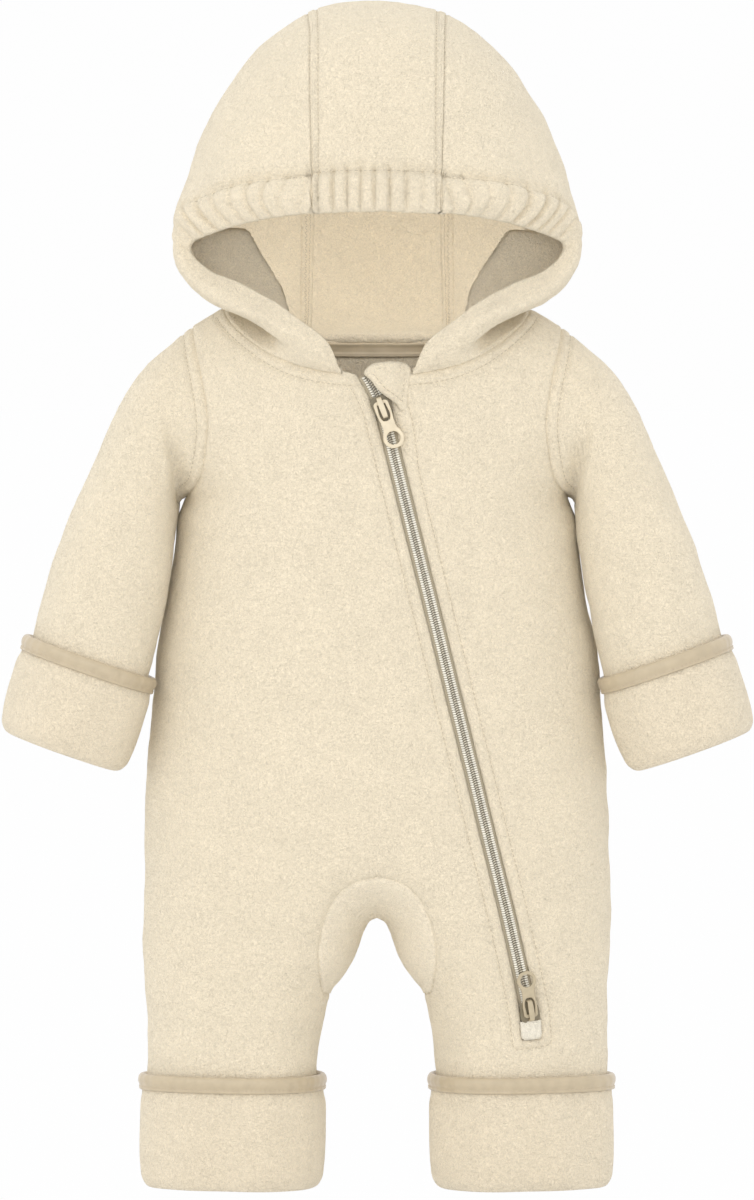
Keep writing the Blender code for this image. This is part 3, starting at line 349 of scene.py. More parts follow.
def fullness(x, z):
    """Square of the share of full depth: 1 in the middle, 0 on the outline, less outside."""
    side = 1 - (np.abs(x) / body("half_width", z)) ** SIDE_POWER
    top = rounded((shoulder_z(x) - z) / np.hypot(1, SHOULDER_SLOPE), SHOULDER_ROUND)
    return side * top * rounded(gap_distance(x, z), CROTCH_ROUND)


def body_points(flat, face):
    """Points of the front (face -1) or back (face 1) from their x and z in the front view."""
    x, z = np.asarray(flat, float).T
    depth = body("front" if face < 0 else "back", z)
    return np.stack([x, face * depth * np.sqrt(np.maximum(fullness(x, z), 0)), z], 1)


def body_normals(flat, face):
    x, z = np.asarray(flat, float).T
    nudge = 0.5
    across = (fullness(x + nudge, z) - fullness(x - nudge, z)) / (2 * nudge)
    upward = (fullness(x, z + nudge) - fullness(x, z - nudge)) / (2 * nudge)
    depth = body("front" if face < 0 else "back", z)
    out = 2 * face * np.sqrt(np.maximum(fullness(x, z), 0)) / depth
    return unit(np.stack([-across, out, -upward], 1))


def turn(share, z):
    """Angle round the body or leg, from its middle or inner side, at a share of its width."""
    share = np.clip(share, 0, 1)
    legs = ease((z - LEG_BLEND[0]) / (LEG_BLEND[1] - LEG_BLEND[0]))
    return (1 - legs) * np.arcsin(share) + legs * np.arccos(1 - 2 * share) / 2


def top_extra(x, z):
    """How much longer the cloth is than its height, where it rounds over to the shoulders."""
    depth = np.clip((shoulder_z(x) - z) / np.hypot(1, SHOULDER_SLOPE), 0, SHOULDER_ROUND)
    angle = np.arccos(1 - depth / SHOULDER_ROUND)
    return SHOULDER_ROUND * (np.pi / 2 - 1 - angle) + depth


def unroll(flat):
    x, z = np.asarray(flat, float).T
    inner = gap_half(z)
    share = (np.abs(x) - inner) / (body("half_width", z) - inner)
    return np.stack([np.where(x < 0, -1, 1) * (inner + GIRTH * turn(share, z)), z + top_extra(x, z)], 1)


def solve(function, target, low, high):
    """Where a rising function of each point reaches its target."""
    for _ in range(40):
        middle = (low + high) / 2
        over = function(middle) > target
        low, high = np.where(over, low, middle), np.where(over, middle, high)
    return (low + high) / 2


def roll(plane):
    """The x and z in the front view of points in the unrolled plane."""
    across, up = plane.T
    count = len(across)
    z = up.copy()
    for _ in range(8):
        inner = gap_half(z)
        angle = np.clip((np.abs(across) - inner) / GIRTH, 0, np.pi / 2)
        share = solve(lambda s: turn(s, z), angle, np.zeros(count), np.ones(count))
        x = np.where(across < 0, -1, 1) * (inner + share * (body("half_width", z) - inner))
        z = solve(lambda at: at + top_extra(x, at), up, up - 40, up.copy())
    return np.stack([x, z], 1)


def inside(points, loop):
    """Which points of the plane lie inside a closed loop."""
    x, y = points.T
    crossings = np.zeros(len(points), int)
    for start, end in zip(loop, np.roll(loop, -1, 0)):
        spans = (start[1] > y) != (end[1] > y)
        rise = end[1] - start[1] if end[1] != start[1] else 1
        crossings += spans & (x < start[0] + (y - start[1]) / rise * (end[0] - start[0]))
    return crossings % 2 == 1


def clearance(points, loop):
    """Distance from each point of the plane to a closed loop."""
    return to_lines(points, loop, np.roll(loop, -1, 0))


def tree_of(points):
    """A search tree of points in the plane or in space."""
    tree = kdtree.KDTree(len(points))
    for index, point in enumerate(points):
        tree.insert((*point, 0)[:3], index)
    tree.balance()
    return tree


def triangulated(points, loops):
    """Triangles over points in the plane, and the edges of the closed loops that come first."""
    edges, first = [], 0
    for loop in loops:
        edges += [(first + i, first + (i + 1) % len(loop)) for i in range(len(loop))]
        first += len(loop)
    made = geometry.delaunay_2d_cdt([Vector(p) for p in points], edges, [], 0, 1e-7)
    source = np.array([origins[0] for origins in made[3]])
    return source[np.array([tuple(face) for face in made[2]])], edges


def fill(loop, spacing, rows):
    """Points and triangles inside a closed loop, evenly spread, with fixed rows of points kept."""
    low, high = loop.min(0), loop.max(0)
    heights = np.arange(low[1], high[1], spacing * 0.87)
    across = np.arange(low[0], high[0], spacing)
    shifts = np.arange(len(heights)) % 2 * spacing / 2
    grid = np.stack([(across + shifts[:, None]).ravel(), np.repeat(heights, len(across))], 1)
    grid = grid[inside(grid, loop)]
    grid = grid[clearance(grid, loop) > 0.5 * spacing]
    fixed = np.concatenate(rows)
    tree = tree_of(fixed)
    grid = grid[np.array([tree.find((*point, 0))[2] for point in grid]) > 0.55 * spacing]
    points = np.concatenate([loop, fixed, grid])
    triangles = triangulated(points, [loop])[0]
    return points, triangles[inside(points[triangles].mean(1), loop)]


# --- shared seams, each a list of points that the pieces on both sides use ------------------


def eased(count, power):
    """Shares from 0 to 1, closer together towards 1, where a seam turns over the outline."""
    return 1 - (1 - np.linspace(0, 1, count)) ** power


def neck_front():
    """Front neck seam from where the hood starts to the shoulder."""
    start = run_length(NECK_FRONT)[1] / run_length(NECK_FRONT)[-1]
    return along(NECK_FRONT, start + (1 - start) * eased(46, 1.5))


def neck_back():
    """Back neck seam from the middle to the hood's seam, and on to the shoulder."""
    corner = run_length(NECK_BACK)[2] / run_length(NECK_BACK)[-1]
    middle = along(NECK_BACK, np.linspace(0, corner, 16))
    return middle, along(NECK_BACK, corner + (1 - corner) * eased(30, 1.5))


def armhole():
    return along(ARMHOLE, (1 - np.cos(np.linspace(0, np.pi, 49))) / 2)


def shoulder():
    x = np.linspace(NECK_FRONT[-1][0], ARMHOLE[0][0], 8)
    return np.stack([x, shoulder_z(x)], 1)


def side_seam():
    z = np.linspace(ARMHOLE[-1][1], LEG_HEM, 110)
    return np.stack([body("half_width", z), z], 1)


def leg_row(z, count):
    """A row across the leg at a height, from its outer side to its inner side."""
    inner, outer = gap_half(z), body("half_width", z)
    x = (inner + outer) / 2 + (outer - inner) / 2 * np.cos(np.linspace(0, np.pi, count))
    return np.stack([x, np.full(count, z)], 1)


def gusset_rows():
    """Gap edge and gusset seam in the front view, from the middle down to the gusset's tip."""
    share, length = np.linspace(0, 1, 50), run_length(GAP_LINE)
    tip = np.interp(-GUSSET_TIP_Z, -GAP_LINE[:, 1], length)
    return read_at(share * tip, length, GAP_LINE), along(GUSSET_SEAM, share)


def gusset_tip():
    """The gusset's short lower end, from the inner leg edge to its seam."""
    edge, seam = gusset_rows()
    return edge[-1] + (seam[-1] - edge[-1]) * (np.linspace(0, 1, 6) ** 2)[:, None]


def inseam():
    z = np.linspace(LEG_HEM, gusset_tip()[0, 1], 22)
    return np.stack([gap_half(z), z], 1)


def lower_half():
    """One side of a panel, from the shoulder end of the neck seam to the top of the gusset."""
    seam = gusset_rows()[1]
    runs = [shoulder(), armhole(), side_seam(), leg_row(LEG_HEM, 40), inseam(), gusset_tip(), seam[::-1]]
    return np.concatenate([runs[0]] + [run[1:] for run in runs[1:]])


ZIP_DENSE = along(ZIP, np.linspace(0, 1, 800))
ZIP_LEFT = left_of(np.gradient(ZIP_DENSE, axis=0))


def zip_heights(top_z, end_z, spacing=3.0):
    return np.linspace(top_z, end_z, int((top_z - end_z) / spacing) + 1)


def beside_zip(heights, offset):
    """Points in the front view at the heights of the zip's line, moved sideways from it."""
    place, left = (read_at(-heights, -ZIP_DENSE[:, 1], values) for values in (ZIP_DENSE, ZIP_LEFT))
    return place + np.reshape(offset, (-1, 1)) * left


def below_neck(points):
    """The part of a line down the front that lies below the neck seam, starting on the seam."""
    neck = along(NECK_FRONT, np.linspace(0, 1, 200))
    above = points[:, 1] - np.interp(np.abs(points[:, 0]), neck[:, 0], neck[:, 1])
    first = np.argmax(above < 0)
    share = above[first - 1] / (above[first - 1] - above[first])
    start = points[first - 1] + share * (points[first] - points[first - 1])
    return np.concatenate([[start], points[first + 1 :]])


def front_outline():
    heights = zip_heights(ZIP[0][1], ZIP[-1][1])
    left, right = (below_neck(beside_zip(heights, offset)) for offset in (-SLIT_HALF, SLIT_HALF))
    across = np.linspace(-SLIT_HALF, SLIT_HALF, 5)
    bottom = beside_zip(np.full(5, ZIP[-1][1]), 0) + np.stack([across, np.zeros(5)], 1)
    half = np.concatenate([neck_front()[:-1], lower_half()])
    return np.concatenate([left, bottom[1:-1], right[::-1], half, mirror(half)[::-1][1:]])


def back_outline():
    middle, side = neck_back()
    half = np.concatenate([middle[1:-1], side[:-1], lower_half()])
    return np.concatenate([middle[:1], half, mirror(half)[::-1][1:]])


def zip_stitch_line():
    """Topstitching down one side of the zip, across under its end, and up the other side."""
    heights = zip_heights(ZIP[0][1], -393.0)
    left = below_neck(beside_zip(heights, -ZIP_STITCH))
    right = beside_zip(heights, ZIP_STITCH)
    right[:, 0] += 3.5 * np.clip((right[:, 1] + 75) / 30, 0, 1)
    right = below_neck(right)
    bottom = along(((77.4, -396), (78.9, -403.2), (85, -403.6), (92, -402.6), (99.6, -400.9), (100.2, -396)),
                   np.linspace(0, 1, 20))
    return np.concatenate([left, bottom, right[::-1]])


# --- panels: points of the outer face, triangles, how deep each point is pressed in, lines ---


def offset_line(line, distance):
    """An open line in the plane moved sideways, to its left."""
    return line + distance * left_of(np.gradient(line, axis=0))


def offset_loop(loop, distance):
    """Points at a distance inside a closed loop in the plane."""
    area = (loop[:, 0] * np.roll(loop[:, 1], -1) - loop[:, 1] * np.roll(loop[:, 0], -1)).sum()
    moved = loop + np.sign(area) * distance * left_of(np.roll(loop, -1, 0) - np.roll(loop, 1, 0))
    return moved[(clearance(moved, loop) > 0.93 * distance) & inside(moved, loop)]


def grid_triangles(rows, columns, closed=False):
    """Triangles of a grid of points, in rows; closed joins the last column to the first."""
    row = np.arange(rows - 1)[:, None] * columns
    place = np.arange(columns if closed else columns - 1)
    a, b = (row + place).ravel(), (row + (place + 1) % columns).ravel()
    c, d = a + columns, b + columns
    return np.concatenate([np.stack([a, b, d], 1), np.stack([a, d, c], 1)])


def rod_triangles(rows, columns):
    """Triangles of rings of points, closed at both ends."""
    first, last = np.arange(1, columns - 1), (rows - 1) * columns
    caps = [np.stack([0 * first, first + 1, first], 1), np.stack([0 * first, first, first + 1], 1) + last]
    return np.concatenate([grid_triangles(rows, columns, closed=True), *caps])


def body_panel(outline, face, stitches):
    """The front or back, with soft seams and a groove along each line of stitching."""
    loop = unroll(outline)
    rows = [offset_loop(loop, distance) for distance, _ in RIM_ROWS]
    dips = [depth for _, depth in RIM_ROWS]
    lines = {}
    for name, line in stitches.items():
        for shift, depth in ((0, GROOVE), (-1.5, 0), (1.5, 0)):
            row = offset_line(line, shift)
            row = row[inside(row, loop)]
            row = row[clearance(row, loop) > 1.2]
            if shift == 0:
                lines[name] = len(loop) + sum(len(done) for done in rows) + np.arange(len(row))
            rows.append(row)
            dips.append(depth)
    plane, triangles = fill(loop, SPACING, rows)
    flat = np.concatenate([outline, roll(plane[len(loop) :])])
    depth = np.zeros(len(plane))
    dips = np.repeat([RIM_DEPTH, *dips], [len(loop), *(len(row) for row in rows)])
    depth[: len(dips)] = dips
    return grid_panel(body_points(flat, face), triangles if face < 0 else triangles[:, ::-1], depth, lines)


def front():
    left, right = (unroll(along(NECK_FRONT, np.linspace(start, 1, 70))) for start in (0.16, 0.13))
    stitches = {
        "zip": unroll(zip_stitch_line()),
        "neck_left": offset_line(left, -NECK_STITCH),
        "neck_right": mirror(offset_line(right, -NECK_STITCH)),
    }
    return body_panel(front_outline(), -1, stitches)


def back():
    middle, side = neck_back()
    half = unroll(resampled(np.concatenate([middle, side[1:]]), 2.5))
    return body_panel(back_outline(), 1, {"neck": both_sides(offset_line(half, -NECK_STITCH))})


def grid_panel(rows, triangles, depth, lines):
    return {"points": rows.reshape(-1, 3), "triangles": triangles, "depth": depth.ravel(), "lines": lines}


def gusset():
    edge, seam = (both_sides(half) for half in gusset_rows())
    shares = np.concatenate([np.linspace(0, 0.9, 14) ** 2 / 0.9, [0.94, 1.0]])
    dips = np.interp(shares, (0, 0.86, 0.94, 1), (0, 0.03, 0.28, RIM_DEPTH))
    rows, depth = [], []
    for face, order in ((-1, slice(None, None, -1)), (1, slice(1, None))):
        rows += [body_points(edge + (seam - edge) * share, face) for share in shares[order]]
        depth += [np.full(len(edge), dip) for dip in dips[order]]
    return grid_panel(np.array(rows), grid_triangles(len(rows), len(edge))[:, ::-1], np.array(depth), {})


def from_both_ends(lengths, first, share_count, end=()):
    """Places down each of several lines: set distances first, even ones after, set ones at the end."""
    lengths = np.asarray(lengths, float)[:, None]
    first, end = np.array(first, float), np.array(end, float)
    scale = np.minimum(1, lengths / (first[-1] + (end[0] if len(end) else 0) + 12))
    start = first * scale
    last = (lengths - end * scale) if len(end) else lengths
    share = np.linspace(0, 1, share_count + 2)[1:-1]
    return np.concatenate([start, start[:, -1:] + (last[:, :1] - start[:, -1:]) * share, last], 1)


def resample_lines(lines, places):
    """Points at places, by distance, along each of several lines of points."""
    return np.array([read_at(place, run_length(line), line) for line, place in zip(lines, places)])


def line_lengths(lines):
    return np.linalg.norm(np.diff(lines, axis=1), axis=2).sum(1)


def sleeve_rings():
    """Rings of the left sleeve, each from its outer side round the front, the armhole first."""
    front_half, back_half = (body_points(armhole(), face) for face in (-1, 1))
    rings = [np.concatenate([front_half, back_half[::-1][1:-1]])]
    angle = np.arange(len(rings[0]))[:, None] / len(rings[0]) * 2 * np.pi
    for outer_x, outer_z, inner_x, inner_z, half_depth, middle_y in SLEEVE:
        middle = np.array([(outer_x + inner_x) / 2, middle_y, (outer_z + inner_z) / 2])
        reach = np.array([(outer_x - inner_x) / 2, 0, (outer_z - inner_z) / 2])
        rings.append(middle + np.cos(angle) * reach - np.sin(angle) * [0, half_depth, 0])
    rings.append(rings[-1] + HEM_TURN * np.array(SLEEVE_WAY))
    return np.array(rings)


def sleeve(side):
    rings = sleeve_rings()
    count = len(rings)
    fine = smooth(np.linspace(0, count - 1, 12 * (count - 1) + 1), np.arange(count), rings.reshape(count, -1))
    columns = fine.reshape(len(fine), -1, 3).transpose(1, 0, 2)
    near = (0, 1.3, 3.0, ARMHOLE_STITCH - 1.5, ARMHOLE_STITCH, ARMHOLE_STITCH + 1.5, 11)
    dips = (RIM_DEPTH, 0.28, 0.03, 0, GROOVE, 0, 0)
    rows = resample_lines(columns, from_both_ends(line_lengths(columns), near, 46)).transpose(1, 0, 2)
    depth = np.zeros(rows.shape[:2])
    depth[: len(dips)] = np.array(dips)[:, None]
    ring = dips.index(GROOVE) * rows.shape[1] + np.append(np.arange(rows.shape[1]), 0)
    triangles = grid_triangles(*rows.shape[:2], closed=True)
    return grid_panel(rows * [side, 1, 1], triangles[:, ::side], depth, {"armhole": ring})


# --- hood -----------------------------------------------------------------------------------

SEAM_STATIONS = 121
RIB_STEPS = 8
FOLD_STEPS = (2, 2, 3, 2, 2)
HOOD_ROWS = sum(FOLD_STEPS) + 1


def hood_seam():
    """Points of the hood's long seam on the wearer's left, and the centre panel's crown there."""
    rows = np.array(HOOD_SEAM, float)
    rows[0, :3] = body_points(neck_back()[1][:1], 1)[0]
    length = run_length(rows[:, :3])
    places = smooth(np.linspace(0, length[-1], SEAM_STATIONS), length, rows)
    return places[:, :3], places[:, 3]


def hood_far_seam():
    """The far seam of the side panel and each point's place along it, as in the hood tables."""
    front_neck, back_neck = body_points(neck_front(), -1), body_points(neck_back()[1], 1)
    neck = np.concatenate([front_neck, back_neck[::-1][1:]])
    neck = resampled(neck, 1.6)
    steps = np.linalg.norm(np.diff(neck, axis=0), axis=1)
    neck_place = np.concatenate([[0], np.cumsum(steps)]) / steps.sum()
    seam = hood_seam()[0]
    seam_place = 1 + np.linspace(0, 1, SEAM_STATIONS)
    return np.concatenate([neck, seam[1:]]), np.concatenate([neck_place, seam_place[1:]])


def hood_points(table, place):
    """Each of a hood table's points, as curves read at places along the far seam."""
    keys, *points = zip(*table)
    return [smooth(place, keys, known) for known in points]


def on_dome(points):
    """The points moved straight out from the dome's centre onto it."""
    away = np.asarray(points, float) - DOME_CENTRE
    height = np.where(away[:, 2] < 0, DOME_BELOW, DOME_HEIGHT)
    reach = np.stack([np.full(len(away), DOME_WIDTH), np.full(len(away), DOME_DEPTH), height], 1)
    return DOME_CENTRE + away / np.linalg.norm(away / reach, axis=1, keepdims=True)


def dome_path(start, end, count):
    """A line over the dome between two points near it."""
    share = np.linspace(0, 1, count)[:, None]
    ends = np.array([start, end], float)
    offsets = ends - on_dome(ends)
    away = unit(ends - DOME_CENTRE)
    angle = np.arccos(np.clip(away[0] @ away[1], -1, 1))
    between = np.sin((1 - share) * angle) * away[0] + np.sin(share * angle) * away[1]
    dome = on_dome(DOME_CENTRE + between / np.sin(angle))
    return dome + (1 - share) ** 2 * offsets[0] + share**2 * offsets[1]


def gathers(along_edge, from_edge):
    """How far the hood's gathered casing and the pleats behind it stand out."""
    u = np.asarray(along_edge, float)
    phase = u / 8.8 + 0.12 * np.sin(u / 9.0 + 1.3) + 0.15 * np.sin(u / 23.0 + 0.4)
    size = 0.8 + 0.25 * np.sin(u / 17.0 + 2.1) + 0.2 * np.sin(u / 5.9)
    ridge = 0.7 - np.exp(-((np.sin(np.pi * phase) / 0.45) ** 2))
    pleat = np.sin(np.pi * phase * 0.62 + 0.7 * np.sin(u / 19.0))
    d = np.asarray(from_edge, float)
    casing = np.interp(d, (0, 3, 11, 18, CASING - 1.5, CASING + 4), (0.6, 0.9, 1.0, 0.95, 0.9, 0))
    beyond = np.interp(d, (CASING, CASING + 5, CASING + 14, CASING + 40), (0.5, 1.0, 0.7, 0))
    swell = np.interp(d, (0, 4, 12, 19, CASING - 0.8, CASING + 1, CASING + 7, CASING + 26),
                      (0.4, 1.3, 2.1, 2.0, 1.3, 0.3, 1.6, 0))
    return size * (3.0 * casing * ridge + beyond * (0.4 * ridge + 1.3 * pleat)) + swell


def casing_groove(from_edge):
    return 1.9 * np.exp(-(((np.asarray(from_edge) - CASING - 0.6) / 1.7) ** 2))


def hood_side(side):
    """Side panel: ribs from the face edge round its rolled hem and fold, or over the dome."""
    far, place = hood_far_seam()
    edge, roll_out, under = hood_points(HOOD_EDGE, place)
    valley, full = hood_points(HOOD_FOLD, place)
    blend = ease((place - DOME_BLEND[0]) / (DOME_BLEND[1] - DOME_BLEND[0]))
    fold_steps = tuple(RIB_STEPS * n for n in FOLD_STEPS)
    ribs = []
    for i in range(1, len(place) - 1):
        folded = through([edge[i], roll_out[i], under[i], valley[i], full[i], far[i]], fold_steps)
        dome = dome_path(roll_out[i], far[i], HOOD_ROWS - FOLD_STEPS[0])
        domed = through(np.concatenate([[edge[i]], dome]), (fold_steps[0], *[RIB_STEPS] * (len(dome) - 1)))
        ribs.append(folded + blend[i] * (domed - folded))
    ribs = np.array([np.repeat(far[:1], len(ribs[0]), 0), *ribs, np.repeat(far[-1:], len(ribs[0]), 0)])
    lengths = line_lengths(ribs)
    near = (0, 0.8, 1.8, 3.2, *np.arange(5, 21.5, 2.1), 21.4, CASING, 24.6, *np.arange(27, 48, 3))
    places = from_both_ends(lengths, near, 34, (HOOD_BAND + 4, HOOD_BAND + 1.5, HOOD_BAND, 2.4, 1.2, 0))
    rows = resample_lines(ribs, places)
    seam_rib = np.argmax(place >= 1)
    depth = np.zeros(rows.shape[:2])
    depth[:seam_rib, -1], depth[:seam_rib, -2] = RIM_DEPTH, 0.28
    depth[seam_rib:, -1] = BAND_SEAM_DEPTH
    depth[seam_rib:, -4] += BAND_GROOVE
    edge_run = run_length(edge)
    from_top = edge_run[-1] - edge_run + HOOD_SEAM[-1][0]
    fade = 0.35 + 0.65 * np.clip((places[:, -1:] - places) / 5, 0, 1)
    low = np.interp(place, (0.5, 1.0, 1.3, 1.5), (0.04, 0.25, 0.75, 1))[:, None]
    depth -= gathers(side * from_top[:, None], places) * fade * low
    depth += casing_groove(places) * np.clip(low * 1.5, 0, 1)
    depth[:, 0] += 0.6
    count, index = rows.shape[1], np.arange(len(rows))
    cut = index[(lengths > CASING + 2) & (place > 0.75)]
    lines = {
        "casing": cut * count + np.argmin(np.abs(places[cut] - CASING), 1),
        "band": index[seam_rib + 1 : -8] * count + count - 4,
    }
    panel = grid_panel(rows * [side, 1, 1], grid_triangles(*rows.shape[:2])[:, ::side], depth, lines)
    panel["from_edge"] = places.ravel()
    panel["seam_rows"] = (index[seam_rib:, None] + 1) * count - np.array([1, 2, 4, 5])
    return panel


def hood_centre():
    """Centre panel: rows from the back neck seam over the crown to the face edge."""
    seam, crown = hood_seam()
    half = np.concatenate([np.arange(0, 36.2, 1.2), [37.2, 38.5, 40.7, 42.0]]) / 42.0
    across = np.concatenate([-half[::-1], half[1:]])
    outward = -left_of(np.gradient(seam[:, 1:], axis=0))
    count, stations = len(across), np.arange(len(seam))
    rows = np.empty((len(seam), count, 3))
    rows[:, :, 0] = across * seam[:, :1]
    rows[:, :, 1:] = seam[:, None, 1:] + outward[:, None] * (crown[:, None] * (1 - across**2))[..., None]
    back_x = across * NECK_BACK[2][0]
    back_z = np.interp(np.abs(back_x), *along(NECK_BACK, np.linspace(0, 1, 200)).T)
    rows[0] = body_points(np.stack([back_x, back_z], 1), 1)
    depth = np.zeros(rows.shape[:2])
    depth[:, (0, -1)] = BAND_SEAM_DEPTH
    depth[:, (2, -3)] += BAND_GROOVE
    depth[0], depth[1] = RIM_DEPTH, 0.3
    length = run_length(seam)
    from_edge = (length[-1] - length)[:, None] + np.zeros(count)
    fade = np.clip((1 - np.abs(across)) * 42 / 5, 0, 1)
    depth -= gathers(rows[:, :, 0], from_edge) * (0.35 + 0.65 * fade)
    depth += casing_groove(from_edge)
    depth[-1] += 0.6
    lines = {
        "casing": int(np.argmin(np.abs(from_edge[:, 0] - CASING))) * count + np.arange(count),
        "band_left": stations[1:-1] * count + count - 3,
        "band_right": stations[1:-1] * count + 2,
    }
    panel = grid_panel(rows, grid_triangles(len(rows), count)[:, ::-1], depth, lines)
    panel["from_edge"] = from_edge.ravel()
    four = np.arange(4)
    panel["seam_rows"] = {
        1: (stations[:, None] + 1) * count - 1 - four,
        -1: stations[:, None] * count + four,
    }
    return panel


# --- walls ----------------------------------------------------------------------------------


def vertex_normals(points, triangles):
    corners = points[triangles]
    faces = np.cross(corners[:, 1] - corners[:, 0], corners[:, 2] - corners[:, 0])
    normals = np.zeros_like(points)
    for axis in range(3):
        for corner in range(3):
            normals[:, axis] += np.bincount(triangles[:, corner], faces[:, axis], len(points))
    return unit(normals)


def rim_edges(triangles):
    """Edges that only one triangle has, in that triangle's direction."""
    edges = np.concatenate([triangles[:, [0, 1]], triangles[:, [1, 2]], triangles[:, [2, 0]]])
    size = triangles.max() + 1
    code, reverse = edges[:, 0] * size + edges[:, 1], edges[:, 1] * size + edges[:, 0]
    return edges[~np.isin(code, reverse)]


def weld(panel):
    """Drops triangles that close up where a grid's ribs run to a point."""
    points, triangles = panel["points"], panel["triangles"]
    _, index = np.unique(np.round(points, 3), axis=0, return_inverse=True)
    same = index.reshape(-1)[triangles]
    kept = (same != np.roll(same, 1, 1)).all(1)
    panel["triangles"] = triangles[kept]


def share_normals(panels):
    """Sets each panel's normals; along a seam they are the mean of the panels that meet there."""
    rims = []
    for panel in panels.values():
        panel["normals"] = vertex_normals(panel["points"], panel["triangles"])
        panel["rim"] = rim_edges(panel["triangles"])
        rims.append(np.unique(panel["rim"]))
    places = np.concatenate([panel["points"][rim] for panel, rim in zip(panels.values(), rims)])
    normals = np.concatenate([panel["normals"][rim] for panel, rim in zip(panels.values(), rims)])
    tree = tree_of(places)
    for panel, rim in zip(panels.values(), rims):
        for vertex in rim:
            found = [index for _, index, _ in tree.find_range(panel["points"][vertex], 2.2)]
            panel["normals"][vertex] = normals[found].sum(0)
    for panel in panels.values():
        panel["normals"] = unit(panel["normals"])


UNEVEN = ((58.0, 0.5, 6), (27.0, 0.22, 8), (9.0, 0.1, 10))


def uneven(points):
    """Small soft unevenness of stuffed-out fleece, as a sum of waves: length, height, count."""
    rng = np.random.default_rng(7)
    total = np.zeros(len(points))
    for length, height, count in UNEVEN:
        for _ in range(count):
            way = rng.normal(size=3)
            way *= 2 * np.pi / length / np.linalg.norm(way)
            total += height / np.sqrt(count) * np.sin(points @ way + rng.uniform(0, 2 * np.pi))
    return total


# Soft creases seen from in front or behind: face, start and end (x, z), width, depth, bow (x, z).
CREASES = (
    (-1, (-120, -50), (-113, -90), 3.6, 2.6, (2, 0)),
    (-1, (120, -50), (113, -90), 3.6, 2.6, (-2, 0)),
    (-1, (-112, -92), (-84, -62), 6.0, 0.8, (4, -6)),
    (-1, (112, -92), (86, -58), 6.0, 0.7, (-4, -6)),
    (1, (-121, -44), (-113, -92), 4.2, 2.4, (2, 0)),
    (1, (121, -44), (113, -92), 4.2, 2.4, (-2, 0)),
    (1, (-44, -298), (-2, -318), 9.0, 1.2, (0, -8)),
    (1, (46, -302), (2, -320), 9.0, 1.1, (0, -7)),
)


def creased(points):
    """How far soft creases draw the cloth in."""
    total = np.zeros(len(points))
    for face, start, end, width, depth, bow in CREASES:
        start, step = np.array(start, float), np.subtract(end, start).astype(float)
        flat = points[:, (0, 2)]
        share = np.clip((flat - start) @ step / (step @ step), 0, 1)
        centre = start + share[:, None] * step + np.sin(np.pi * share)[:, None] * np.array(bow, float)
        distance = np.linalg.norm(flat - centre, axis=1) / width
        here = np.clip(face * points[:, 1] / 8 - 0.5, 0, 1)
        here *= np.sin(np.pi * np.clip(share, 0.02, 0.98)) ** 0.5
        total += depth * here * (np.exp(-(distance**2)) - 0.35 * np.exp(-((distance - 2) ** 2)))
    return total


def on_cloth(flat, face, lift):
    """Points at a height above the front or back, uneven as the cloth is, and the normals there."""
    points, normals = body_points(flat, face), body_normals(flat, face)
    rise = uneven(points) - creased(points) + lift
    return points + normals * np.reshape(rise, (-1, 1)), normals


def wall(panel, thickness):
    """A closed wall from a panel: its outer face, inner face and a rounded edge between them."""
    points, normals, rim = panel["points"], panel["normals"], panel["rim"]
    base = points + normals * (uneven(points) - creased(points))[:, None]
    outer = base - normals * panel["depth"][:, None]
    sunk = np.minimum(panel["depth"], 0.3) if "from_edge" in panel else 0
    inner = base - normals * (np.reshape(thickness, -1) + sunk)[:, None]
    run = unit(points[rim[:, 1]] - points[rim[:, 0]])
    sideways = np.zeros_like(points)
    for end in range(2):
        np.add.at(sideways, rim[:, end], np.cross(run, normals[rim[:, end]]))
    sideways = unit(sideways)
    used = np.unique(rim)
    middle = (outer[used] + inner[used]) / 2 + RIM_ROUND * sideways[used]
    count = len(points)
    place = np.zeros(count, int)
    place[used] = 2 * count + np.arange(len(used))
    a, b = rim.T
    faces = [panel["triangles"], panel["triangles"][:, ::-1] + count]
    for low, high in (((a, b), (place[a], place[b])), ((place[a], place[b]), (a + count, b + count))):
        faces.append(np.stack([low[0], high[0], high[1]], 1))
        faces.append(np.stack([low[0], high[1], low[1]], 1))
    panel["outer"], panel["inner"] = outer, inner
    return np.concatenate([outer, inner, middle]), np.concatenate(faces)


# --- objects --------------------------------------------------------------------------------


def linked(name, data):
    """An object of some data, in the scene."""
    made = bpy.data.objects.new(name, data)
    bpy.context.collection.objects.link(made)
    return made


def add_mesh(name, points, faces, sharp=None):
    """A smooth-shaded mesh object in metres, its loose points left out."""
    faces = np.asarray(faces)
    used = np.unique(faces)
    place = np.zeros(len(points), int)
    place[used] = np.arange(len(used))
    mesh = bpy.data.meshes.new(name)
    mesh.from_pydata((np.asarray(points)[used] * MM).tolist(), [], place[faces].tolist())
    mesh.shade_smooth()
    if sharp:
        mesh.set_sharp_from_angle(angle=sharp)
    return linked(name, mesh)


def settle(made, material, node=None, body_name="garment"):
    """Gives an object its material, puts it on the body it rides on, and hides the CAD part it stands in for,
    if one is given.
    """
    made.data.materials.append(material)
    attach(made, body_name)
    if node:
        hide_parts(node)
    return made


def add_sheet(name, solid, material, node, sharp=None):
    """One of the maker's pieces of cloth, made as a mesh with its material in place of its CAD part."""
    piece = settle(add_mesh(name, *solid, sharp), material, node)


def facing_out(points, triangles):
    corners = points[triangles] - points.mean(0)
    volume = np.einsum("ij,ij->i", corners[:, 0], np.cross(corners[:, 1], corners[:, 2])).sum()
    return points, triangles[:, ::-1] if volume < 0 else triangles


